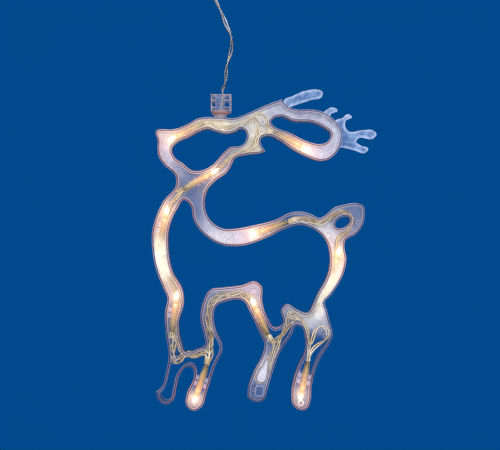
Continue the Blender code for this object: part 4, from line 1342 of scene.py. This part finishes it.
def make_posts():
    """Each post is two thin ribs, from the holder towards the wall."""
    walls = channel_loops(REAR_STEP + WALL - 0.2)
    for number, lamp in enumerate(LAMPS, 1):
        bm = bmesh.new()
        turn = lamp_matrix(lamp)
        for station in POST_STATIONS:
            for side in (1, -1):
                reach = 0.6
                while reach < POST_REACH.get(number, POST_REACH_ELSEWHERE):
                    place = turn @ Vector((side * (HOLDER_R + GAP + reach), 0, station))
                    if not in_region([(place.x, place.z)], walls)[0]:
                        break
                    reach += 0.2
                near, far = HOLDER_R + GAP, HOLDER_R + GAP + reach
                across = (near, far) if side > 0 else (-far, -near)
                for start, end in ((-RIB_OUT, -RIB_IN), (RIB_IN, RIB_OUT)):
                    low = (across[0], RIB_Y[0], station + start)
                    high = (across[1], RIB_Y[1], station + end)
                    bevelled_box(bm, low, high, turn, RIB_BEVEL)
        for vert in bm.verts:
            vert.co = at(*vert.co)
        mesh = mesh_from(bm, f"lamp_posts_{number:02d}")
        # Edge 0.9 draws the posts whole as painted highlight lines, which take on the lamps' light near the bulbs.
        paint(mesh, [0.9] * len(mesh.vertices))
        posts = placed(mesh.name, mesh, POST, "reindeer", 40)
        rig.slot(posts, "clear_plastic")


def make_bosses():
    for number, (x, z, r) in enumerate(BOSSES, 1):
        profile = [
            (0, -5.0), (r * 0.35, -5.0), (r * 0.4, -5.2), (r * 0.45, -5.9), (r * 0.55, -6.0),
            (r * 0.9, -6.0), (r, -5.8), (r, 6.7), (0, 6.7),
        ]
        matrix = Matrix.Translation((x, 0, z)) @ Matrix.Rotation(-math.pi / 2, 4, "X")
        boss = turned(f"boss_{number}", profile, POST, "reindeer", matrix, 24)
        # The boss's front face is painted as a highlight line (edge 1) and its sides as painted shade (edge 0.4).
        rim = [1.0 if v.co.y / MM - ORIGIN.y < -5.85 else 0.4 for v in boss.data.vertices]
        paint(boss.data, rim)
        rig.slot(boss, "clear_plastic")


# The ridges moulded round the pocket and the window of one leg: (x, z).
RIDGES = {
    "leg_pocket": [(47.6, -243), (47.8, -250), (47, -259), (45, -264.5), (40, -266),
                   (36.6, -263), (37.6, -257.5), (43, -249)],
    "leg_window": [(36.3, -269, CORNER), (44.3, -270, CORNER), (42.3, -279.5, CORNER),
                   (34.8, -278.5, CORNER)],
    "hoof_ring": [(80.8 + 2.6 * math.cos(math.radians(a)),
                   -286.2 + 2.6 * math.sin(math.radians(a))) for a in range(0, 360, 30)],
}
# How each ridge is drawn: 0.42 as a line of painted shade, 1.0 and, elsewhere, 0.9 as painted highlight lines.
RIDGE_EDGE = {"leg_pocket": 0.42, "hoof_ring": 1.0}


def make_ridges():
    for name, loop in RIDGES.items():
        line = [Vector((p.x, -6.3, p.y)) for p in smooth(loop, TURN, True)]
        tubes(name, [line + line[:2]], 0.6, POST, "reindeer", "clear_plastic", 8,
              edge=RIDGE_EDGE.get(name, 0.9))


def make_pocket_floor():
    """The bright floor of the pocket in the leg, a thin plate."""
    loop = inset(smooth(RIDGES["leg_pocket"], TURN, True), 0.5)
    places, triangles, _, border = plate([loop], 1.2)
    verts = [at(p.x, y, p.y) for y in (-5.6, -4.9) for p in places]
    size = len(places)
    faces = list(triangles) + [tuple(size + i for i in f)[::-1] for f in triangles]
    faces += [(i, (i + 1) % border, size + (i + 1) % border, size + i) for i in range(border)]
    floor = mesh_object("leg_pocket_floor", verts, faces, POCKET, "reindeer", 40)
    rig.slot(floor, "clear_plastic")


POST = clear_plastic("clear_post", 0.03, 0.22, 0.05, 0.0, POST_HIGHLIGHT_TINTS)
make_posts()
make_bosses()


# The wires.


def tail_point(lamp, side, along=0.0):
    return lamp_matrix(lamp) @ Vector((-side * WIRE_SIDE, 0, -along))


def turn_back(lamp, side):
    middle = (STRING_Y + LAMP_Y) / 2
    radius = (STRING_Y - LAMP_Y) / 2
    points = []
    for degrees in (90, 45, 0, -45, -90):
        angle = math.radians(degrees)
        point = tail_point(lamp, side * 1.3, 4 + radius * math.cos(angle))
        point.y = middle + radius * math.sin(angle)
        points.append(point)
    return points


def routed(points, layer):
    return [Vector((p[0], p[2] if len(p) > 2 else layer, p[1])) for p in points]


def tubes(name, lines, radius, mat, body, slot, sides=10, tones=(0,), edge=None):
    """Round strands along lines, as one mesh, with each point's shade and light."""
    verts, faces, shade, tone = [], [], [], []
    for number, line in enumerate(lines):
        points = np.array([tuple(p) for p in line])
        rings = [add_ring(point, axes, radius, sides, verts, shade)
                 for point, *axes in frames_along(points, (0.3, 1, 0.1))]
        tone += [tones[number % len(tones)]] * (sides * len(rings))
        faces += skin_rings(rings, sides)
    obj = mesh_object(name, verts, faces, mat, body, 60)
    paint(obj.data, None if edge is None else [edge] * len(verts))
    set_attribute(obj.data, "shade", shade)
    set_attribute(obj.data, "tone", tone)
    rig.slot(obj, slot)
    return obj


def strands_of(line, phase, count, apart):
    """The strands of a wire, side by side, that cross each other now and then."""
    points = resample(line, STRAND_STEP)
    across = np.cross(tangents_of(points), (0, 1, 0))
    across /= np.maximum(np.linalg.norm(across, axis=1), 0.3)[:, None]
    along = np.arange(len(points)) * STRAND_STEP
    ends = 0.5 + 0.5 * np.clip(np.minimum(along, along[-1] - along) / 9, 0, 1)[:, None]
    made = []
    for strand in range(count):
        angle = along / STRAND_PITCH * 2 * math.pi + phase + 2 * math.pi * strand / count
        shift = across * np.cos(angle)[:, None] * apart
        shift = shift + np.array((0, 1, 0)) * np.sin(angle)[:, None] * 0.5
        made.append(points + shift * ends)
    return made


def make_wires():
    for i, route in enumerate(STRING_ROUTES):
        start = [tail_point(LAMPS[i - 1], OUT_SIDE[i - 1], 0.5)]
        if i == 0:
            start = routed(HUB_ENDS[:1], STRING_Y)
        lamp, side = LAMPS[i], -OUT_SIDE[i]
        end = [tail_point(lamp, side, 0.5)]
        if i in TURNS_BACK:
            end = turn_back(lamp, side) + end
        line = smooth(start + routed(route, STRING_Y) + end, TURN)
        strands = strands_of(line, i * 1.7, *STRANDS.get(i, (2, 1.1)))
        mat = TAIL_WIRE if i == TAIL_WIRE_NUMBER else WIRE
        piece = tubes(f"gold_wire_{i + 1:02d}", strands, STRING_R, mat, "reindeer",
                      "wire_insulation", tones=(0, 0, 0.5))
        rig.replaces(piece, f"string_wire_{i + 1:02d}")
    start = [tail_point(LAMPS[-1], OUT_SIDE[-1], 0.5)]
    line = smooth(start + routed(RETURN_ROUTE + HUB_ENDS[1:], RETURN_Y), TURN)
    piece = tubes("gold_wire_11", strands_of(line, 0.4, 3, 1.7), STRING_R, WIRE, "reindeer",
                  "wire_insulation", tones=(0, 0.5, 0))
    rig.replaces(piece, "return_wire")


make_wires()
make_ridges()
make_pocket_floor()


# The hub, the hook and the plug keep their CAD shapes, with softened edges.

# The hub's raised rims, round its faces and its windows: (left, low, right, high).
HUB_RIMS = [
    (-8.8, 6.3, 10.8, 22.4),
    (-8.4, 6.4, -4.2, 9.2), (-8.4, 10.2, -4.2, 16.4), (-8.4, 17.7, -4.2, 21.9),
    (4.0, 6.4, 9.9, 9.2), (4.0, 10.2, 9.9, 16.4), (4.0, 17.7, 9.9, 21.9),
]


def make_hub_rims():
    lines = []
    for depth in (-6.7, 6.7):
        for left, low, right, high in HUB_RIMS if depth < 0 else HUB_RIMS[:1]:
            corners = [(left, low), (right, low), (right, high), (left, high), (left, low)]
            lines += [[Vector((x, depth, z)), Vector((u, depth, w))]
                      for (x, z), (u, w) in zip(corners, corners[1:])]
    for x in (-8.8, 10.8):
        for z in (6.3, 22.4):
            lines.append([Vector((x, -6.7, z)), Vector((x, 6.7, z))])
    tubes("hub_rims", lines, 0.32, HUB_RIB, "hanger", "hub_plastic", 6)


def repaint(node, mat):
    obj = frame["nodes"][node]
    obj.data.materials.clear()
    obj.data.materials.append(mat)
    return obj


def soften(node, mat, width):
    obj = repaint(node, mat)
    bevel = obj.modifiers.new("soft_edges", "BEVEL")
    bevel.width = width * MM
    bevel.segments = 2
    bevel.limit_method = "ANGLE"
    bevel.angle_limit = math.radians(35)
    bevel.harden_normals = True
    obj.data.polygons.foreach_set("use_smooth", [True] * len(obj.data.polygons))


make_hub_rims()
for node, mat, width in (
    ("hub_body", HUB, 0.3), ("suction_hook", HOOK, 0.3), ("plug_body", PLUG, 0.2),
    ("fuse_door", PLUG, 0.25), ("plug_blade_1", BRASS, 0.3), ("plug_blade_2", BRASS, 0.3),
    ("fuse_1", FUSE, 0.1), ("fuse_2", FUSE, 0.1),
):
    soften(node, mat, width)
repaint("lead_tie", TIE)

NECK_PROFILE = [
    (2.0, 5.6), (8.6, 5.6), (9.0, 5.3), (9.0, 4.7), (8.6, 4.3), (6.8, 3.1), (6.1, 2.8),
    (6.0, 2.5), (6.0, 0.7), (5.7, 0.4), (4.0, 0.4), (4.0, -2.4), (5.1, -2.4), (5.4, -2.7),
    (5.4, -3.3), (5.1, -3.6), (2.0, -3.6), (2.0, 5.6),
]
neck = turned("hub_neck_turned", NECK_PROFILE, COLLAR, "hanger", Matrix(), 40,
              lambda h, a: 1.0 if h > 4 else 0.0)
stand_in(neck, "hub_plastic", "hub_neck")
line = smooth([Vector((2.9, 0, 22.8)), Vector((1.6, 0, 14)), Vector((0.2, 0, 5)),
               Vector((0, 0, 1)), Vector((0, 0, -3.6))], TURN)
strands = tubes("hub_pair", [line], 1.2, LEAD, "hanger", "wire_insulation", 12)
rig.replaces(strands, "hub_wires")

CUP_PROFILE = [
    (0, 6.6), (3.0, 6.6), (3.45, 6.4), (3.6, 6.0), (3.3, 5.3), (3.0, 5.0), (3.0, 2.9), (3.3, 2.6),
    (6, 2.3), (9, 1.95), (12, 1.5), (15, 1.0), (16.6, 0.75), (17, 0.5), (17, 0.1), (16.8, 0),
    (15.5, 0), (0, 0),
]
cup_place = Matrix.Translation((CUP_X, GLASS_Y, CUP_Z)) @ Matrix.Rotation(math.pi / 2, 4, "X")
cup = turned("suction_cup_moulded", CUP_PROFILE, CUP, "hanger", cup_place, 64)
stand_in(cup, "cup_vinyl", "suction_cup")


# The floor and the light.


def area_light(name, place, target, size, power, colour):
    data = bpy.data.lights.new(name, "AREA")
    data.shape = "DISK"
    data.size = size * MM
    data.energy = power
    data.color = colour
    light = bpy.data.objects.new(name, data)
    light.location = at(*place)
    direction = at(*target) - light.location
    light.rotation_euler = direction.to_track_quat("-Z", "Y").to_euler()
    bpy.context.scene.collection.objects.link(light)


def make_stage():
    bm = bmesh.new()
    bmesh.ops.create_circle(bm, cap_ends=True, segments=96, radius=2.4)
    mesh = bpy.data.meshes.new("floor")
    bm.to_mesh(mesh)
    bm.free()
    mesh.materials.append(FLOOR)
    floor = bpy.data.objects.new("floor", mesh)
    floor.location = at(30, 0, -1150)
    bpy.context.scene.collection.objects.link(floor)
    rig.stage(floor)
    world = bpy.data.worlds.new("studio")
    bpy.context.scene.world = world
    world.use_nodes = True
    background = world.node_tree.nodes["Background"]
    background.inputs["Color"].default_value = (0.0, 0.068, 0.262, 1)
    background.inputs["Strength"].default_value = 1.0
    area_light("key", (-420, -700, 420), (30, 0, -130), 500, 6.0, (1.0, 0.98, 0.95))
    area_light("fill", (600, -500, -50), (30, 0, -130), 600, 3.0, (0.9, 0.94, 1.0))
    area_light("top", (0, -900, 1300), (0, 200, -1150), 1800, 8, (1.0, 1.0, 1.0))
    area_light("back", (100, 600, 500), (30, 0, -130), 500, 4.0, (1.0, 1.0, 1.0))


make_stage()
bpy.context.scene.view_settings.view_transform = "Standard"
bpy.context.scene.cycles.transparent_max_bounces = 32

bpy.context.view_layer.update()
with open("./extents.json", "w") as file:
    boxes = {"cad": CAD_BOX, "visual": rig.bounds()}
    json.dump({k: [list(corner) for corner in box] for k, box in boxes.items()}, file)
